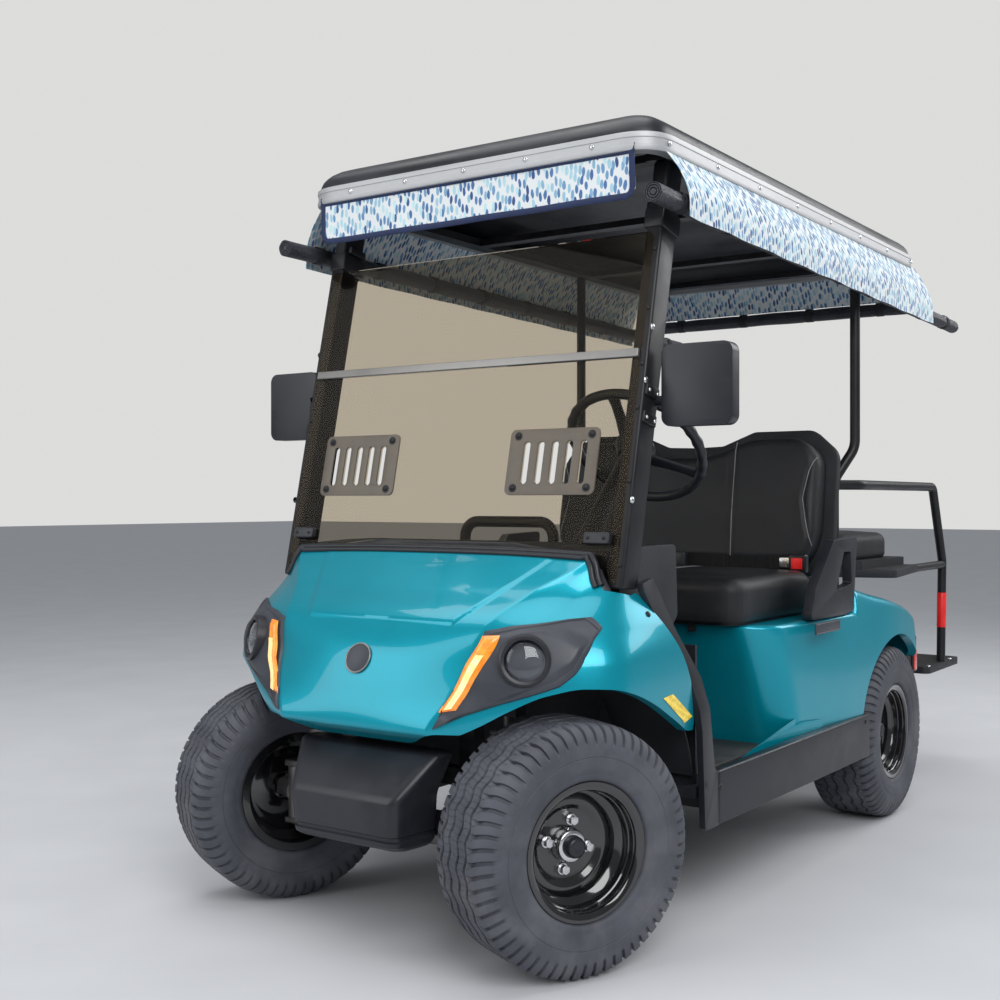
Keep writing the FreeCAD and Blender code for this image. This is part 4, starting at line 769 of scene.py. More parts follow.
# Tyres: one pitch of the tread is a row of columns, and the pitches go round the tyre.
tyreShape = {
    "radius": 260,
    "pitches": 60,
    "columns": (0.0, 0.06, 0.29, 0.36, 0.50, 0.67, 0.84),
    "groovePlaces": (17, 47),
    "groove": ((-4.6, 0), (-3.0, 1), (3.0, 1), (4.6, 0)),  # across it, and how deep
    "grooveDepth": 6.5,
    "slotDepth": 8.5,
    "wave": 4.5,
    "ribs": ((32, 259.7, 0, 0), (56.5, 259.1, 0, 0)),
    "shoulder": [
        (62, 258.9), (66, 258.4), (70, 257.8), (74, 257), (78, 255.8), (82.5, 253.2), (87, 249), (91.5, 243.5),
        (95.5, 236.5), (98.5, 229), (100.6, 221), (102, 212), (102.7, 203), (102.9, 195), (101.9, 193.6),
        (102.8, 192.2), (102.4, 182), (101.4, 172), (99.4, 162), (98.6, 160.4), (98.4, 158.6), (96.4, 152),
        (94.2, 147.4), (91.6, 145.2), (87.5, 144.6), (84.9, 143), (84.6, 128)],
}


def treadRows():
    look = tyreShape
    half = [(0, look["radius"], 0, 0)]
    for middle in look["groovePlaces"]:
        crown = look["radius"] - 1.1 * (middle / 62) ** 2
        half += [(middle + off, crown, floor, 0) for off, floor in look["groove"]]
    half += look["ribs"]
    half.sort(key=lambda row: row[0])
    half += [(y, r, 0, smoothStep(59, 66, y) * smoothStep(216, 232, r)) for y, r in look["shoulder"]]
    return [(-y, r, floor, slot) for y, r, floor, slot in reversed(half[1:])] + half


def buildTyre():
    look, rows = tyreShape, treadRows()
    count = len(look["columns"])

    def place(u, v):
        y, r, floor, slot = rows[round(v * (len(rows) - 1))]
        pitch, column = divmod(round(u * look["pitches"] * count), count)
        turn = (pitch + look["columns"][column] + 0.35 * smoothStep(60, 100, abs(y))) / look["pitches"]
        y += look["wave"] * math.sin(math.tau * turn * look["pitches"] / 2) * smoothStep(62, 50, abs(y))
        depth = look["grooveDepth"] * floor + look["slotDepth"] * slot * (column in (1, 2))
        lean = smoothStep(66, 98, abs(y))
        r -= depth * (1 - 0.55 * lean)
        y -= math.copysign(depth * 0.6 * lean, y)
        return local(r * math.cos(math.tau * turn), y, r * math.sin(math.tau * turn))

    tyre = gridPatch(look["pitches"] * count, len(rows) - 1, place, flat=(1, len(rows) - 1))
    uv = tyre.loops.layers.uv.active
    for face in tyre.faces:
        for loop in face.loops:
            loop[uv].uv.y = rows[round(loop[uv].uv.y)][0]
    merged(tyre)
    bmesh.ops.bridge_loops(tyre, edges=[e for e in tyre.edges if e.is_boundary])
    return faceOut(tyre)


# Turned sections of the wheel, as (across, radius), and its nuts.
wheelShape = {
    "barrel": [
        (89, 141.6), (87.6, 142), (86.2, 140.6), (85, 128), (84, 126.7), (50, 126.7), (37, 106.9), (-37, 106.9),
        (-50, 126.7), (-84, 126.7), (-85, 140), (-87, 142), (-89, 141), (-89, 124), (-88, 122.7), (-50, 122.7),
        (-38, 102.7), (36, 102.7), (44, 112), (46, 116.5), (50, 118.2), (62, 119.2), (64, 121.6), (76, 122.4),
        (78, 124), (84, 124.6), (86.4, 127.6), (88.4, 134), (89.2, 139)],
    "disc": [
        (5, 33.6), (5.6, 33), (10.4, 33), (11, 33.6), (11, 70), (12.4, 74.5), (19.4, 82), (21, 87), (21, 97),
        (19.5, 101), (18.5, 103), (9, 103), (9, 90), (7.6, 84), (5, 76)],
    "hub": [(11, 36.5), (12, 37), (28, 34.6), (33.4, 33), (34.8, 31), (35, 23.5), (33, 23), (12, 23.5), (11, 25)],
    "cap": [
        (33, 22.6), (46, 22.2), (51, 20.6), (54, 16.5), (54.6, 10), (53.6, 8), (53.8, onAxis), (51, onAxis),
        (50, 15), (34, 19)],
    "nutDome": [(15, 8.9), (20, 8.6), (24, 6.8), (26.4, 3.6), (27, onAxis)],
    "nutCircle": 50.8,
    "nutAngle": 12,
    "steered": 25,  # the front wheels stand turned at rest
}


def buildWheels():
    look = wheelShape
    tyre, rims = buildTyre(), joined(spun(look["barrel"], 128), spun(look["disc"], 96))
    hubs, caps = spun(look["hub"], 72), spun(look["cap"], 64)
    nuts = []
    for k in range(4):
        angle = math.radians(look["nutAngle"] + 90 * k)
        x, z = look["nutCircle"] * math.cos(angle), look["nutCircle"] * math.sin(angle)
        nuts.append(drum(local(x, 11, z), local(x, 14, z), 12.5, 0.8))
        nuts.append(drum(local(x, 13, z), local(x, 27, z), 10.6, 0.9, endRadius=10.2, segments=6))
        nuts.append(moved(spun(look["nutDome"], 28, closed=False), Matrix.Translation(local(x, 0, z))))
    nuts = joined(*nuts)
    stem = drum(local(96, 21, 20), local(94, 47, 21), 4.2, 0.6, endRadius=3.6, segments=16)
    valve = joined(stem, drum(local(94, 46, 21), local(93, 56, 21), 3.4, 0.8, segments=12))
    for place in ("front_left", "front_right", "rear_left", "rear_right"):
        turn = (180 if "right" in place else 0) - (look["steered"] if "front" in place else 0)
        spot = Matrix.Translation(joints["roll_" + place]["pos_m"]) @ Matrix.Rotation(math.radians(turn), 4, "Z")

        def fit(name, part, finish, **more):
            piece(name, moved(part.copy(), spot), finish, body=place + "_wheel", **more)

        fit("tyre_" + place + "_tread", tyre, "tyreRubber", stands="tyre_" + place, sharp=32, slot="tyre_rubber")
        fit("rim_" + place, rims, "wheelBlack", stands="wheel_" + place, sharp=28, slot="gloss_black_steel")
        fit("hub_ring_" + place, hubs, "brightSteel")
        fit("dust_cap_" + place, caps, "smoothMoulding")
        fit("wheel_nuts_" + place, nuts, "brightSteel")
        fit("valve_" + place, valve, "smoothMoulding")
    print("wheels")


# The seat base and rear fenders are one moulding: plan outlines at rising heights.
rearShape = {
    "height": [324, 480, 640, 730],
    "front": [-880, -838, -790, -770],
    "nose": [500, 500, 490, 480],
    "near": [548, 545, 532, 515],
    "mid": [585, 582, 566, 545],
    "wide": [600, 600, 588, 560],
    "rear": [590, 590, 575, 545],
    "rearX": -1855,
    "round": 40,  # the rear corner, in plan
    "arch": (-1632, 262, 298),
    "shelf": 644.7,
    "shelfEnd": -1341,
    "fenderTop": 712,
    "bottom": {"sill": 324.5, "fender": 352.6, "tail": 397, "tailSide": 470},
    "topStation": [-1880, -1800, -1640, -1480, -1390],
    "topHeight": [566, 620, 660, 690, 706],
    "hatch": (-1250, -850, 380),
    "wall": 3.6,
    "rows": (18, 6, 4),  # up the wall, round the crown and across the top
}


def rearTop(x):
    shelf, end = rearShape["shelf"], rearShape["shelfEnd"]
    if x >= end:
        return shelf
    crest = through(rearShape["topStation"], rearShape["topHeight"], x) + 4 * smoothStep(-1480, -1380, x)
    return min(shelf + (rearShape["fenderTop"] - shelf) * smoothStep(end, end - 33, x), crest)


def rearBottom(x, y):
    centreX, centreZ, radius = rearShape["arch"]
    bottom = rearShape["bottom"]
    low = bottom["sill"] if x > -939 else bottom["fender"]
    if x < -1822 and abs(y) > 385:
        low = bottom["tailSide"]
    if x < -1822 and abs(y) < 196:
        low = bottom["tail"]
    if abs(y) > 385 and abs(x - centreX) < radius:
        low = max(low, centreZ + math.sqrt(radius ** 2 - (x - centreX) ** 2))
    return low


def rearPlan(z):
    keys = ("front", "nose", "near", "mid", "wide", "rear")
    front, nose, near, mid, wide, rear = (through(rearShape["height"], rearShape[key], z) for key in keys)

    def side(x):
        return through([rearShape["rearX"], -1625, -1350, front - 60], [rear, wide, mid, near], x)

    outline = [(front, 0), (front, nose - 30), (front - 60, near), (-1200, side(-1200)), (-1200, 0)]
    corners = [tuple(p) for p in roundedLoop(outline, 34)[6:18]]
    return [(front, 0), (front, 190), (front, 379)] + corners, side


def rearStations():
    centreX, _, radius = rearShape["arch"]
    stations = [-960 - 30 * k for k in range(13)] + [-1250, -1341, -1346, -1352, -1358, -1364, -1370, -1377]
    stations += [centreX + radius * math.cos(math.radians(18 + 3.15 * k)) for k in range(34)]
    end = rearShape["rearX"] + rearShape["round"]
    return sorted({round(x, 1) for x in stations if x > end}, reverse=True)


def buildRearBody():
    look = rearShape
    stations, rearX, turnIn = rearStations(), look["rearX"], look["round"]
    corner = len(rearPlan(400)[0])
    total = corner + len(stations) + 10
    wallRows, crownRows, topRows = look["rows"]

    def outlineAt(index, z):
        plan, side = rearPlan(z)
        if index < corner:
            return plan[index]
        if index < corner + len(stations):
            x = stations[index - corner]
            return x, side(x)
        k, start, rear = index - corner - len(stations), rearX + turnIn, side(rearX)
        if k < 7:
            turn = math.radians(15 * k)
            y = rear - turnIn + turnIn * math.cos(turn) + (side(start) - rear) * (1 - k / 6)
            return start - turnIn * math.sin(turn), y
        return rearX, (381, 190, 0)[k - 7]

    def place(u, v):
        index = round(u * (total - 1))
        row = round(v * (wallRows + crownRows + topRows))
        x, y = outlineAt(index, 560)
        top, low = rearTop(x), rearBottom(x, y)
        crown = min(24 if x < look["shelfEnd"] else 12, (top - low) * 0.5)
        spread = 0.0
        if row <= wallRows:
            z = mix(low, top - crown, row / wallRows)
        else:
            turn = min(1.0, (row - wallRows) / crownRows) * math.pi / 2
            z = top - crown + crown * math.sin(turn)
            spread = crown * (1 - math.cos(turn))
        x, y = outlineAt(index, min(z, 728))
        if index < corner - 7 or index > total - 4:
            x += -spread if x > -1200 else spread
        else:
            y -= spread
            x += spread * (smoothStep(-1812, -1850, x) - smoothStep(-930, -880, x))
        if row > wallRows + crownRows:
            y = min(y, 380.0) * (1, 0.66, 0.33, 0)[row - wallRows - crownRows - 1]
        return at(x, y, z)

    skin = merged(gridPatch(total - 1, wallRows + crownRows + topRows, place), 5e-5)
    back, fore, half = look["hatch"]
    gone = []
    for face in skin.faces:
        middle = face.calc_center_median() * 1000
        if middle.z > 638 and middle.y < half and fore > middle.x - axleX > back:
            gone.append(face)
    bmesh.ops.delete(skin, geom=gone, context="FACES")
    centreX, centreZ, radius = look["arch"]

    def onArch(v):
        return v.co.y > 0.4 and abs((v.co - at(centreX, v.co.y * 1000, centreZ)).length * 1000 - radius) < 3

    rim = [e for e in skin.edges if e.is_boundary and all(onArch(v) for v in e.verts)]
    for inward in (4, 22):
        fresh, rim = extruded(skin, rim)
        for v in fresh:
            v.co.y -= inward / 1000
    skin = walled(outward(bothSides(skin, merge=1e-5), at(-1400, 0, 450)), look["wall"])
    made = piece("rear_body_skin", skin, "tealPaint", stands="rear_body", sharp=38, slot="teal_panels")
    print("rear body", len(made.data.polygons), "faces")


# The canopy: a drawn metal drip rail round a crowned skin, both as (inset, height) sections.
roofShape = {
    "front": -195,
    "rear": -2077,
    "half": 520,
    "corner": 100,
    "rivetHeight": 1763.5,
    "rail": [
        (30, 1742), (5, 1742), (1.4, 1743.4), (0, 1746.5), (0, 1754.5), (1.8, 1756), (1.8, 1771), (0, 1772.5),
        (0, 1781.5), (1.2, 1784), (3.6, 1785), (8, 1785), (8.6, 1780), (28, 1779), (30, 1776)],
    "skin": [
        (500, 1836), (250, 1836), (115, 1830), (60, 1810), (34, 1785), (12, 1783), (6.5, 1784.8), (7, 1788),
        (9.5, 1796), (14, 1806), (22, 1815.5), (33, 1824.5), (50, 1834), (75, 1843), (110, 1851), (150, 1856),
        (190, 1858.6), (240, 1859.6), (330, 1860), (500, 1860)],
}


def roofLoop(inset, height):
    look = roofShape
    x0, x1, half = look["rear"] + inset, look["front"] - inset, look["half"] - inset
    corner = max(look["corner"] - inset * 0.9, 40 if inset < 200 else 12)
    return [at(*p, height) for p in roundedLoop([(x0, -half), (x1, -half), (x1, half), (x0, half)], corner, 9)]


def buildRoof():
    look = roofShape
    rings = [roofLoop(*row) for row in look["rail"] + look["rail"][:1]]
    rail = faceOut(merged(ringStack(rings, capped=False)))
    piece("drip_rail", rail, "gutterSilver", stands="roof_gutter", sharp=28, slot="silver_rail")
    skin = ringStack([roofLoop(*row) for row in look["skin"]])
    piece("roof_skin", skin, "smoothMoulding", stands="roof_top", slot="black_moulding")
    spots = [(x, side * 518.4, 0, side) for x in range(-270, -2060, -248) for side in (1, -1)]
    for y in range(-360, 361, 180):
        spots += [(look["front"] - 1.8, y, 1, 0), (look["rear"] + 1.8, y, -1, 0)]
    z = look["rivetHeight"]
    heads = [roundHead(at(x, y, z), Vector((ahead, side, 0)), 6.5, 3.4) for x, y, ahead, side in spots]
    piece("rail_rivets", joined(*heads), "brightSteel")
    print("roof")


# Printed canvas hangs from the drip rail down to the rolled side curtains.
valanceShape = {
    "top": 1748,
    "thickness": 1.2,
    "sideFront": -256,
    "sideRear": -2066,
    "sideDrop": 0.184,
    "sideOut": (512, 60),  # where it leaves the rail, and how far it swings out
    "pastRoll": 34,
    "frontHalf": 466,
    "frontDrop": 0.108,
    "rearHalf": 470,
    "rearDrop": 0.101,
    "band": 15,
}


# The height of the rolled side curtain, which drops by 40 over its length.
def rollHeight(x):
    return 1630 + (x + 146) * 40 / 2265


def buildValances():
    look = valanceShape
    top, half, band = look["top"], look["frontHalf"], look["band"]

    def canvas(name, columns, rows, place, flat, stands=None, outside=True):
        cloth = gridPatch(columns, rows, place, flat=flat)
        if not outside:
            bmesh.ops.reverse_faces(cloth, faces=cloth.faces)
        return piece(name, walled(cloth, look["thickness"]), "canvasPrint", stands=stands, slot="canvas")

    length, drop = (look["sideFront"] - look["sideRear"]) / 1000, look["sideDrop"]
    start, swing = look["sideOut"]
    for side, word in ((1, "left"), (-1, "right")):
        # The cloth leaves the drip rail, swings out over the rolled curtain and hangs past it.
        def hang(u, v):
            x = mix(look["sideRear"], look["sideFront"], u)
            z = mix(rollHeight(x) - look["pastRoll"], top + 2, v)
            out = swing * math.sin(clamp((top + 2 - z) / (top + 2 - rollHeight(x))) * math.pi / 2)
            ripple = 2.6 * math.sin(x * 0.027 + 1.3 * side) * (1 - v)
            ripple += 1.6 * noise.noise(Vector((x * 0.011, v * 3, side)))
            return at(x, side * (start + out + ripple), z)

        made = canvas("valance_" + word, 170, 18, hang, (length, drop), "valance_sides", side > 0)

    def front(u, v):
        y = mix(-half, half, u)
        z = mix(1640 + 20 * smoothStep(half - 22, half, abs(y)), top, v)
        lump = 1.2 * noise.noise(Vector((y * 0.02, v * 2, 7)))
        return at(-203 - 3 * (1 - v) + 2.2 * math.sin(y * 0.024) * (1 - v) + lump, y, z)

    # The bound edge runs down one side, along the bottom and up the other.
    edgeLine = [(-half, 1745), (-half, 1662), (-half + 8, 1645), (-half + 24, 1637)]
    edgeLine += [(-y, z) for y, z in reversed(edgeLine)]

    def binding(u, v):
        y, z = alongLine(edgeLine, u)
        turn, low = math.tau * v, clamp((top - z) / 108)
        inward = Vector((-math.copysign(1, y) if abs(y) > half - 9 and z < 1740 else 0, 1 if z < 1660 else 0))
        inward = inward.normalized() if inward.length else Vector((0, 1))
        y2, z2 = Vector((y, z)) + inward * band / 2 * (1 - math.cos(turn))
        return at(-202.6 - 3 * low + 2.2 * math.sin(y * 0.024) * low + 2.6 * math.sin(turn), y2, z2)

    def topBinding(u, v):
        turn = math.tau * v
        return at(-202.6 + 2.6 * math.sin(turn), mix(-half, half, u), 1741 + 5 * math.cos(turn))

    width, drop = 2 * half / 1000, look["frontDrop"]
    made = canvas("valance_front", 96, 14, front, (width, drop), "valance_ends")
    edge = faceOut(merged(joined(gridPatch(140, 8, binding), gridPatch(40, 8, topBinding))))
    bound = piece("valance_binding", edge, "navyBinding", slot="canvas")

    def back(u, v):
        y = mix(-look["rearHalf"], look["rearHalf"], u)
        x = -2069 - 33 * (1 - v) + 1.8 * math.sin(y * 0.027 + 1) * math.sin(math.pi * v)
        return at(x, -y, mix(1652, top, v))

    width, drop = 2 * look["rearHalf"] / 1000, look["rearDrop"]
    made = canvas("valance_rear", 90, 12, back, (width, drop))
    print("valances")


# A rolled curtain: a loose spiral of cloth, pinched where its straps go round.
curtainShape = {
    "radius": 23,
    "strapEvery": 252,
    "strapWidth": 26,
    "strapEdge": ((-0.5, 0), (-0.5, 1.3), (-0.46, 1.8), (0.46, 1.8), (0.5, 1.3), (0.5, 0), (-0.5, 0)),
    # The rolled layers at an end: share of the radius, and how far in each lies, in metres.
    "layers": [
        (0.16, 0.0), (0.30, 0.0), (0.34, 0.004), (0.42, 0.004), (0.46, 0.0), (0.58, 0.0), (0.62, 0.004),
        (0.69, 0.004), (0.73, 0.0), (0.84, 0.0), (0.87, 0.003), (0.91, 0.003), (0.95, 0.0)],
    "runs": {
        "left": ((-146, 542, 1630), (-2411, 542, 1590)),
        "right": ((-146, -542, 1630), (-2411, -542, 1590)),
        "rear": ((-2108, -508, 1628), (-2108, 508, 1628)),
    },
}


# A ring of points round a line, whose radius in millimetres depends on the turn.
def ringRound(start, end, distance, radiusAt, count=40):
    along = (end - start).normalized()
    sideways = along.cross(upright).normalized()
    upward = sideways.cross(along)
    ring = []
    for turn in (math.tau * k / count for k in range(count)):
        spoke = sideways * math.cos(turn) + upward * math.sin(turn)
        ring.append(start + along * distance + spoke * radiusAt(turn) / 1000)
    return ring


def rolledCurtain(start, end, straps, seed):
    look, length = curtainShape, (end - start).length

    def ringAt(distance, shrink=1.0, pull=0.0):
        pinch = sum(math.exp(-((distance - strap) / 0.017) ** 2) for strap in straps)

        def radiusAt(turn):
            lump = noise.noise(Vector((distance * 9, math.cos(turn) * 1.4, math.sin(turn) * 1.4 + seed)))
            return (look["radius"] - 2.6 + 2.4 * turn / math.tau + 1.5 * lump - 2.2 * pinch) * shrink

        return ringRound(start, end, distance + pull, radiusAt)

    spots = [0.0]
    while spots[-1] < length - 0.012:
        spots.append(spots[-1] + 0.010)
    rings = [ringAt(0.0, *layer) for layer in look["layers"]] + [ringAt(spot) for spot in spots]
    return ringStack(rings + [ringAt(length, shrink, -pull) for shrink, pull in reversed(look["layers"])])


def strapRing(start, end, distance):
    def ringAt(across, lift):
        def radiusAt(turn):
            return curtainShape["radius"] - 1.6 + lift + 0.9 * math.exp(-((turn - 1.1) / 0.28) ** 2)

        return ringRound(start, end, distance + across * curtainShape["strapWidth"] / 1000, radiusAt)

    return faceOut(merged(ringStack([ringAt(*row) for row in curtainShape["strapEdge"]], capped=False), 1e-6))


def buildCurtains():
    for word, ends in curtainShape["runs"].items():
        start, end = at(*ends[0]), at(*ends[1])
        length = (end - start).length
        count = max(3, round(length * 1000 / curtainShape["strapEvery"]))
        straps = [length * (k + 0.5) / count for k in range(count)]
        roll = rolledCurtain(start, end, straps, len(word))
        stands = "curtain_rolls" if word == "left" else None
        made = piece("curtain_roll_" + word, roll, "curtainCloth", stands=stands, sharp=50, slot="curtain")
        bands = [strapRing(start, end, strap) for strap in straps]
        piece("curtain_straps_" + word, joined(*bands), "strapWebbing", sharp=30, slot="webbing")
    print("curtains")


def nearest(point, lines):
    best = 1e9
    for a, b in lines:
        share = clamp((point - a).dot(b - a) / max((b - a).length_squared, 1e-9))
        best = min(best, (point - a - (b - a) * share).length)
    return best


# A cushion: a crowned face, rounded edges, sewn channels and sides that pull in.
def cushion(shape, matrix, piping=()):
    depth, edge, crown = shape["depth"], shape["edge"], shape["crown"]
    loop = roundedLoop(shape["corners"], shape["radius"], 7)
    sides = list(zip(loop, loop[1:] + loop[:1]))
    sewn = [(Vector(a), Vector(b)) for run in shape["seams"] for a, b in zip(run, run[1:])]
    half = max(p.x for p in loop) - 0.6

    def height(p, q):
        away = nearest(Vector((p, q)), sides)
        rise = depth - edge + edge * math.sqrt(max(0.0, 1 - (1 - away / edge) ** 2)) if away < edge else depth
        swell = crown * smoothStep(0, 170, away)
        rumple = 1.6 * noise.noise(Vector((p, q, depth)) * 0.009) * smoothStep(10, 60, away)
        channel = math.exp(-(nearest(Vector((p, q)), sewn) / 7) ** 2)
        return rise - crown + swell + rumple - 4.6 * channel * smoothStep(4, 30, away)

    def place(u, v):
        p = half * math.sin((u - 0.5) * math.pi)
        found = [a.y + (b.y - a.y) * (p - a.x) / (b.x - a.x) for a, b in sides
                 if (a.x - p) * (b.x - p) <= 0 and abs(a.x - b.x) > 1e-9]
        q = mix(min(found), max(found), 0.5 + 0.5 * math.sin((v - 0.5) * math.pi))
        return Vector((p, q, height(p, q)))

    pad = merged(gridPatch(*shape["grid"], place), 0.05)
    rim = [e for e in pad.edges if e.is_boundary]
    middle = sum(q for p, q in shape["corners"]) / len(shape["corners"])
    rows = 5
    for k in range(1, rows + 1):
        fresh, rim = extruded(pad, rim)
        for v in fresh:
            v.co.z = (depth - edge - crown) * (1 - k / rows)
            if k == rows:
                v.co.x *= 0.985
                v.co.y += (middle - v.co.y) * 0.015
    bmesh.ops.holes_fill(pad, edges=rim, sides=0)
    # Cords along the seams: real seams, with a light grey that paints the highlight on them.
    seamHighlightCords = []
    for run in piping:
        line = [alongLine(run, k / 24) for k in range(25)]
        seamHighlightCords.append(seamCord([matrix @ Vector((p, q, height(p, q) + 1.2)) for p, q in line], 1.5))
    return moved(faceOut(pad), matrix), seamHighlightCords


# Cushion outlines, flat ones as (across, back) and upright ones as (across, up the back).
seatShape = {
    "bench": {
        "corners": [(-475, 735), (-475, 1262), (475, 1262), (475, 735)],
        "radius": 70, "depth": 122.4, "edge": 38, "crown": 11, "low": 655.4, "grid": (130, 84),
        "seams": [[(-165, 738), (-168, 1258)], [(165, 738), (168, 1258)]],
        "piping": [[(y, 768), (y, 1000), (y, 1230)] for y in (-160, -170, 160, 170)],
    },
    "back": {
        "corners": [
            (-410, 25), (-446, 105), (-444, 350), (-385, 407), (-215, 407), (-95, 355), (95, 355), (215, 407),
            (385, 407), (444, 350), (446, 105), (410, 25)],
        "radius": 52, "depth": 94, "edge": 30, "crown": 8, "away": 0.6, "grid": (130, 84),
        "seams": [[(s * 186, 28), (s * 184, 200), (s * 178, 396)] for s in (-1, 1)]
        + [[(s * 436, 80), (s * 418, 150), (s * 404, 220), (s * 418, 300), (s * 436, 345)] for s in (-1, 1)],
    },
    "rearRest": {
        "corners": [(-400, 175), (-400, 375), (400, 375), (400, 175)],
        "radius": 46, "depth": 64, "edge": 26, "crown": 6, "away": 60.5, "grid": (120, 50),
        "seams": [[(y, 176), (y, 374)] for y in (-134, 134)],
    },
    "rearSeat": {
        "corners": [(-430, 1625), (-430, 2050), (430, 2050), (430, 1625)],
        "radius": 60, "depth": 91, "edge": 30, "crown": 9, "low": 777.6, "grid": (120, 64),
        "seams": [[(y, 1628), (y, 2048)] for y in (-145, 145)],
    },
    "lean": math.radians(-10),
    "foot": (-1382, 745),
}


def buildSeats():
    look = seatShape
    cos, sin = math.cos(look["lean"]), math.sin(look["lean"])
    x, z = look["foot"]

    # The plan is drawn with y across and x towards the back, so the map turns it.
    def laid(shape):
        rows = (0, -1, 0, axleX), (1, 0, 0, 0), (0, 0, 1, shape["low"])
        return Matrix([[value / 1000 for value in row] for row in rows] + [[0, 0, 0, 1]])

    def stood(shape, side):
        ahead = Vector((cos, 0, -sin)) * side
        axes = leftward * side, Vector((sin, 0, cos)), ahead, at(x, 0, z) * 1000 + ahead * shape["away"]
        return Matrix([(*(axis[i] / 1000 for axis in axes),) for i in range(3)] + [(0, 0, 0, 1)])

    def upholster(name, shape, matrix, stands, body="cart", seamHighlightName=None, piping=()):
        pad, seamHighlightCords = cushion(shape, matrix, piping)
        made = piece(name, pad, "seatVinyl", body=body, stands=stands, sharp=60, slot="vinyl")
        if seamHighlightName:
            piece(seamHighlightName, joined(*seamHighlightCords), "seamHighlightGrey", body=body, slot="vinyl")

    bench, back, rearRest, rearSeat = (look[key] for key in ("bench", "back", "rearRest", "rearSeat"))
    upholster(
        "bench_cushion", bench, laid(bench), "seat_cushion", "front_seat", "bench_seam_highlights", bench["piping"])
    upholster(
        "seat_back_cushion", back, stood(back, 1), "seat_back", "cart", "seat_back_seam_highlights", back["seams"])
    upholster("rear_rest_cushion", rearRest, stood(rearRest, -1), "rear_backrest")
    upholster("rear_seat_pad", rearSeat, laid(rearSeat), "rear_seat_cushion", "rear_seat")
    print("seats")


buildWheels()
buildRearBody()
buildRoof()
buildValances()
buildCurtains()
buildSeats()

# The bumper's outline at rising heights, as (height, front, half its width).
bumperShape = {
    "rows": [
        (229.5, 203, 130), (232, 210, 134), (238, 226, 141), (246, 238.5, 147), (256, 241, 148.5), (259, 236, 146),
        (266, 236, 146), (269, 241.5, 149), (336, 245, 153), (345, 242.5, 155), (354, 235, 158.5), (430, 167, 197),
        (435, 161, 195), (436.5, 153, 190)],
    "back": 101,
    "flare": 11,
    "corner": 0.030,
}


def buildBumper():
    back, flare = bumperShape["back"], bumperShape["flare"]
    rings = []
    for z, front, half in bumperShape["rows"]:
        corners = [at(front, -half, z), at(front, half, z), at(back, half + flare, z), at(back, -half - flare, z)]
        rings.append(roundedLoop(corners, bumperShape["corner"], 7))
    piece("bumper_moulding", ringStack(rings), "smoothMoulding", stands="front_bumper", sharp=32)


# CAD pieces that only need their edges rounded: by how much, and their finish.
roundings = {
    "roof_struts_front": (7, "powderCoat"), "fender_straps": (2.5, "smoothMoulding"),
    "rockers": (6, "smoothMoulding"), "dashboard": (6, "blackMoulding"), "hip_restraints": (6, "smoothMoulding"),
    "seat_back_shell": (4, "blackMoulding"), "windshield_clips": (3, "smoothMoulding"),
    "windshield_rail": (3, "railSilver"), "rear_deck": (2.5, "blackMoulding"), "footplate": (2.5, "blackMoulding"),
    "pedals": (2, "blackMoulding"), "steering_column": (2, "smoothMoulding"), "engine_block": (4, "engineGrey"),
    "front_axle": (2, "dullSteel"), "cowl_trim": (2.5, "smoothMoulding"), "mirrors": (5, "smoothMoulding"),
    "windshield_vents": (1, "bronzePlate"), "floor_mat": (1.5, "matRubber"),
}

buildBumper()
for node, (width, finish) in roundings.items():
    roundedNode(node, width, finish)
print("rounded")


def buildScreenTrim():
    facing = onScreen(1, 0, 0) - onScreen(0, 0, 0)
    starts = [onScreen(9.2, across, above) for across in (188, 384) for above in (149, 271)]
    pair("screen_washers", [drum(start, start + facing * 1.6, 9.5, 0.4) for start in starts], "powderCoat")
    bolts = [roundHead(start + facing * 1.2, facing, 6.5, 5) for start in starts]
    bolts += [roundHead(onScreen(20.8, across, 35), facing, 4.5, 3.2) for across in (410, 450)]
    bolts += [roundHead(onScreen(0.2, 484, above), facing, 5.5, 4) for above in (-20, 165, 330, 430, 560, 700)]
    pair("screen_bolts", bolts, "powderCoat")

    plates = [((-80, 450, 752), (3, 500, 800), 4), ((-70, 444, 802), (-12, 480, 822), 3)]
    plates += [((-62, 494, above), (-6, 502, above + 26), 2.5) for above in (300, 362)]
    pair("strut_brackets", [faceOut(block(*plate, 3, onScreen)) for plate in plates], "powderCoat")
    screws = [roundHead(at(x, 495.6, z), leftward, 8, 5) for x, z in ((-137, 970), (-199, 1233), (-230, 1353))]
    spots = [(ahead, 501.6, above) for above in (313, 375) for ahead in (-54, -16)]
    screws += [roundHead(onScreen(*spot), leftward, 4.5, 4) for spot in spots]
    pair("strut_screws", screws, "brightSteel")

    # Two soft beads close the gap between the cowl and the foot of the glass.
    beads, step = [], 0.04
    for offset, radius in ((1.5, 7.5), (13.5, 6.5)):
        edge, share = [], -2.6
        while share <= 2.6:
            spot = abs(share)
            top = cowlSpan(spot)[1]
            here = Vector(cowlPoint(top, spot))
            if here.y <= 484 and screenSide(here.x, here.z)[1] >= -74:
                along = Vector(cowlPoint(cowlSpan(spot + 0.02)[1], spot + 0.02)) - here
                normal = along.cross(Vector(cowlPoint(top - 2, spot)) - here).normalized()
                normal *= 1 if normal.z + normal.x > 0 else -1
                across = normal.cross(along).normalized()
                across *= 1 if across.dot(Vector((1, 0, -0.4))) > 0 else -1
                here += normal * 3.0 + across * offset
                edge.append(at(here.x, math.copysign(here.y, share), here.z))
            share += step
        beads.append(seamCord(edge, radius))
    piece("screen_foot_beads", joined(*beads), "smoothMoulding", sharp=60)


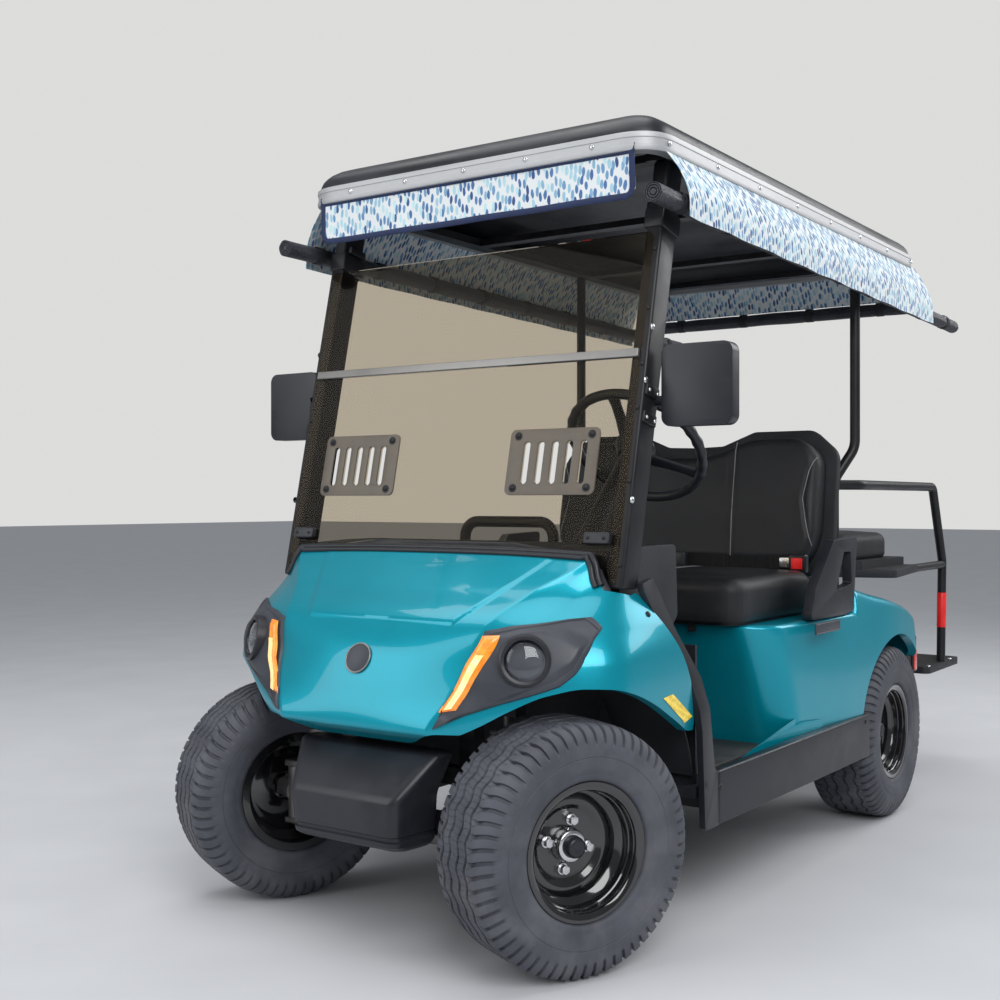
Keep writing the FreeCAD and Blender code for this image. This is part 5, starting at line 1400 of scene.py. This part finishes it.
# Small parts, in millimetres from the front axle. Blocks are (low, high, edge).
fittings = {
    "noseHeight": 628,
    "decal": ([(-166, 545), (-270, 478)], [(-208, 549), (-303, 488)]),
    "springs": {"side": 265, "radius": 34, "wire": 5.2, "low": 292, "rise": 180, "coils": 7},
    "belts": ((30, 398), (-398, -30)),
    "buckles": ((424, 26), (-46, 20), (46, 20), (-424, 26)),  # place across and half width
    "ribs": 16,
}


def buildFittings():
    look = fittings
    # A bare round plate on the nose, with a worn metal rim.
    height = look["noseHeight"]
    slope = (cowlPoint(height + 12, 0)[0] - cowlPoint(height - 12, 0)[0]) / 24
    facing = Vector((1, 0, -slope)).normalized()
    centre = at(cowlPoint(height, 0)[0], 0, height)
    plate = turned([(-2, onAxis), (2.4, onAxis), (2.4, 30), (3.0, 31), (-2, 33)], centre, facing, 64)
    piece("nose_plate", plate, "bezelCharcoal")
    piece("nose_plate_rim", hoop(32.6, 1.9, centre + facing * 0.0022, facing), "railSilver")

    pair("fender_reflectors", [cowlPatch(*look["decal"], 24, 8, lambda *spot: 0.9, 0.7)], "yellowReflector")
    screws = [roundHead(cowlSpot(-160, 724, 0.5), cowlNormal(-160, 724), 7, 4)]
    screws += [roundHead(at(x, 594.5, z), leftward, 8, 4) for x, z in ((-368, 323), (-1335, 334))]
    pair("body_screws", screws, "powderCoat")

    pair("side_plates", [block((-1152, 582, 612), (-972, 587.5, 643), 2.2)], "bezelCharcoal")
    bars = [block((-1149, 586.8, z), (-975, 588.3, z + 1.6), 0.5) for z in (614.5, 639)]
    pair("side_plate_lines", bars, "railSilver")
    pair("reflector_brackets", [block((-1908, 558, 414), (-1870, 566, 530), 3)], "blackMoulding")
    pair("side_reflectors", [block((-1902, 565.5, 420), (-1876, 570, 484), 2)], "redLens")
    sleeve = drum(at(-2417.6, 500, 512), at(-2422.6, 500, 636), 16.0, 0.3, segments=40)
    pair("reflective_sleeves", [sleeve], "redPlastic")
    lens = [(-3, onAxis), (6.5, onAxis), (6.0, 14), (4.4, 27), (1.2, 36.5), (-3, 37.5)]
    backward = Vector((-1, 0, 0))
    pair("tail_lenses", [turned(lens, at(-1878, 520, 545), backward, 56)], "redLens")
    pair("tail_rims", [hoop(39.2, 3.0, at(-1877, 520, 545), backward)], "smoothMoulding")

    # Coil springs round the front shock bodies.
    spring, coils = look["springs"], []
    count = 20 * spring["coils"]
    for side in (spring["side"], -spring["side"]):
        points = []
        for k in range(count + 1):
            x, y = (spring["radius"] * wave(math.tau * k / 20) for wave in (math.cos, math.sin))
            points.append(at(x, side + y, spring["low"] + spring["rise"] * k / count))
        coils.append(seamCord(points, spring["wire"]))
    piece("shock_springs", joined(*coils), "engineGrey", sharp=60)

    # Seat belts: webbing across the foot of the back cushion, a tongue and a red-faced buckle.
    def belt(low, high):
        def lay(u, v):
            y, bulge = mix(low, high, u), math.sin(math.pi * u)
            sag = 5 * bulge + 3 * math.sin(y * 0.03)
            return at(-1264 + 5 * bulge + 1.5 * math.sin(y * 0.05), y, 786 - sag + mix(-22, 22, v))

        return walled(gridPatch(60, 6, lay), 1.6)

    webs = [belt(*ends) for ends in look["belts"]]
    piece("belt_webs", joined(*webs), "strapWebbing", stands="seat_belts", sharp=50)
    buckles = [block((-1271, y - wide, 760), (-1243, y + wide, 812), 5, 3) for y, wide in look["buckles"]]
    faces = [block((-1244.5, y - 17, 770), (-1240.5, y + 17, 802), 2, 3) for y in (424, -424)]
    tongues = [block((-1258, low, 772), (-1254, low + 58, 802), 1.2) for low in (366, -424)]
    piece("belt_buckles", joined(*buckles), "smoothMoulding")
    piece("belt_buckle_faces", joined(*faces), "redPlastic")
    piece("belt_tongues", joined(*tongues), "brightSteel")

    ribs = [block((-2572 + 22 * k, -495, 389.2), (-2564 + 22 * k, 495, 392.4), 1.2) for k in range(look["ribs"])]
    piece("footplate_ribs", joined(*ribs), "matRubber")
    screws = [roundHead(at(x, y, 390.2), upright, 8, 4) for x in (-2500, -2240) for y in (-506, 506)]
    piece("footplate_screws", joined(*screws), "brightSteel")
    print("fittings")


# The wheel's spokes are sections at distances from the hub: half width, half thickness and height.
steeringShape = {
    "place": (-584, 260, 1105),
    "tilt": -46,
    "radius": 175,
    "grip": 13,
    "spokes": (0, 125, 235),
    "sections": ((28, 20, 7, -20), (60, 19, 6, -17), (100, 16, 5.5, -9), (140, 15, 5.5, -3), (168, 18, 6, 0)),
    "hub": [(-46, 34), (-30, 40), (-8, 54), (2, 52), (6, 44), (7.5, 30), (8, onAxis)],
    "cap": [(5, 30), (9.5, 28), (11, 18), (11.5, onAxis)],
}


def buildSteering():
    look = steeringShape
    tilt = Matrix.Translation(at(*look["place"])) @ Matrix.Rotation(math.radians(look["tilt"]), 4, "Y")
    middle, radius = Vector(), look["radius"] / 1000
    rim = hoop(look["radius"], look["grip"], middle, upright, 120)
    for v in rim.verts:
        turn = math.atan2(v.co.y, v.co.x)
        grip = 1.2 * math.sin(turn * 30) * smoothStep(0.2, 0.6, abs(math.sin(turn)))
        core = Vector((v.co.x, v.co.y, 0)).normalized() * radius
        v.co = core + (v.co - core) * (1 + grip / look["grip"])
    turns = [math.tau * k / 16 for k in range(16)]
    spokes = []
    for angle in look["spokes"]:
        rings = [[local(away, half * math.cos(turn), drop + thick * math.sin(turn)) for turn in turns]
                 for away, half, thick, drop in look["sections"]]
        spokes.append(moved(ringStack(rings), Matrix.Rotation(math.radians(angle), 4, "Z")))
    whole = moved(joined(rim, *spokes, turned(look["hub"], middle, upright, 64)), tilt)
    piece("steering_wheel_rim", whole, "smoothMoulding", body="hand_wheel", stands="steering_wheel", sharp=50)
    cap = moved(turned(look["cap"], middle, upright), tilt)
    piece("steering_wheel_cap", cap, "powderCoat", body="hand_wheel")
    print("steering wheel")


buildScreenTrim()
buildFittings()
buildSteering()

cameraLook = {"place": (2292, 1842, 970), "turn": 124.86, "lens": 46.25}
lamps = [
    {"name": "key", "place": (2600, 3600, 3900), "size": 3.4, "power": 210},
    {"name": "fill", "place": (3800, -2600, 2600), "size": 3.6, "power": 90},
    {"name": "back", "place": (-4600, 2600, 3600), "size": 3.2, "power": 120},
    {"name": "top", "place": (-300, -600, 5200), "size": 4.0, "power": 120},
]
stageLook = {
    "floor": ((0.47, 0.475, 0.50, 1), (0.54, 0.545, 0.565, 1)),
    "floorHalf": 40,
    "skyLight": ((0.92, 0.96, 1.0, 1), 0.50),
    "mirrored": ((0.92, 0.97, 1.0, 1), 0.22),  # what shiny surfaces see
    "seen": ((0.72, 0.72, 0.71, 1), 1.0),  # what the camera sees, also through glass
    "lampsFace": (-700, 0, 800),
}


def buildStage():
    look = stageLook
    floor = bmesh.new()
    bmesh.ops.create_grid(floor, x_segments=1, y_segments=1, size=look["floorHalf"])
    data = bpy.data.meshes.new("studio_floor")
    floor.to_mesh(data)
    material = bpy.data.materials.new("paleFloor")
    material.use_nodes = True
    tree = material.node_tree
    cloud = addNode(tree, "TexNoise", {"Vector": addNode(tree, "TexCoord").outputs["Object"], "Scale": 3})
    shader = tree.nodes["Principled BSDF"].inputs
    feed(tree, shader["Base Color"], blended(tree, cloud.outputs["Fac"], *look["floor"]))
    feed(tree, shader["Roughness"], 0.75)
    data.materials.append(material)
    link("studio_floor", data)

    world = bpy.data.worlds.new("studio")
    world.use_nodes = True
    tree = world.node_tree
    sources = [tree.nodes["Background"], addNode(tree, "Background"), addNode(tree, "Background")]
    for source, key in zip(sources, ("skyLight", "mirrored", "seen")):
        for socket, value in zip(("Color", "Strength"), look[key]):
            feed(tree, source.inputs[socket], value)
    sky, mirrored, seen = (source.outputs[0] for source in sources)
    rays = addNode(tree, "LightPath").outputs
    shine = addNode(tree, "MixShader", {0: rays["Is Glossy Ray"], 1: sky, 2: mirrored}).outputs[0]
    straight = arithmetic(tree, "MAXIMUM", rays["Is Camera Ray"], rays["Is Transmission Ray"])
    shown = addNode(tree, "MixShader", {0: straight, 1: shine, 2: seen}).outputs[0]
    feed(tree, tree.nodes["World Output"].inputs["Surface"], shown)
    bpy.context.scene.world = world

    for lamp in lamps:
        data = bpy.data.lights.new(lamp["name"], "AREA")
        data.size = lamp["size"]
        data.energy = lamp["power"]
        made = link(lamp["name"], data)
        made.location = at(*lamp["place"])
        made.rotation_euler = (at(*look["lampsFace"]) - made.location).to_track_quat("-Z", "Y").to_euler()

    data = bpy.data.cameras.new("camera")
    data.lens = cameraLook["lens"]
    data.sensor_width = 36
    camera = link("camera", data)
    camera.location = at(*cameraLook["place"])
    camera.rotation_euler = (math.radians(90), 0, math.radians(cameraLook["turn"]))
    bpy.context.scene.camera = camera
    bpy.context.scene.view_settings.view_transform = "Standard"


buildStage()
bpy.context.view_layer.update()
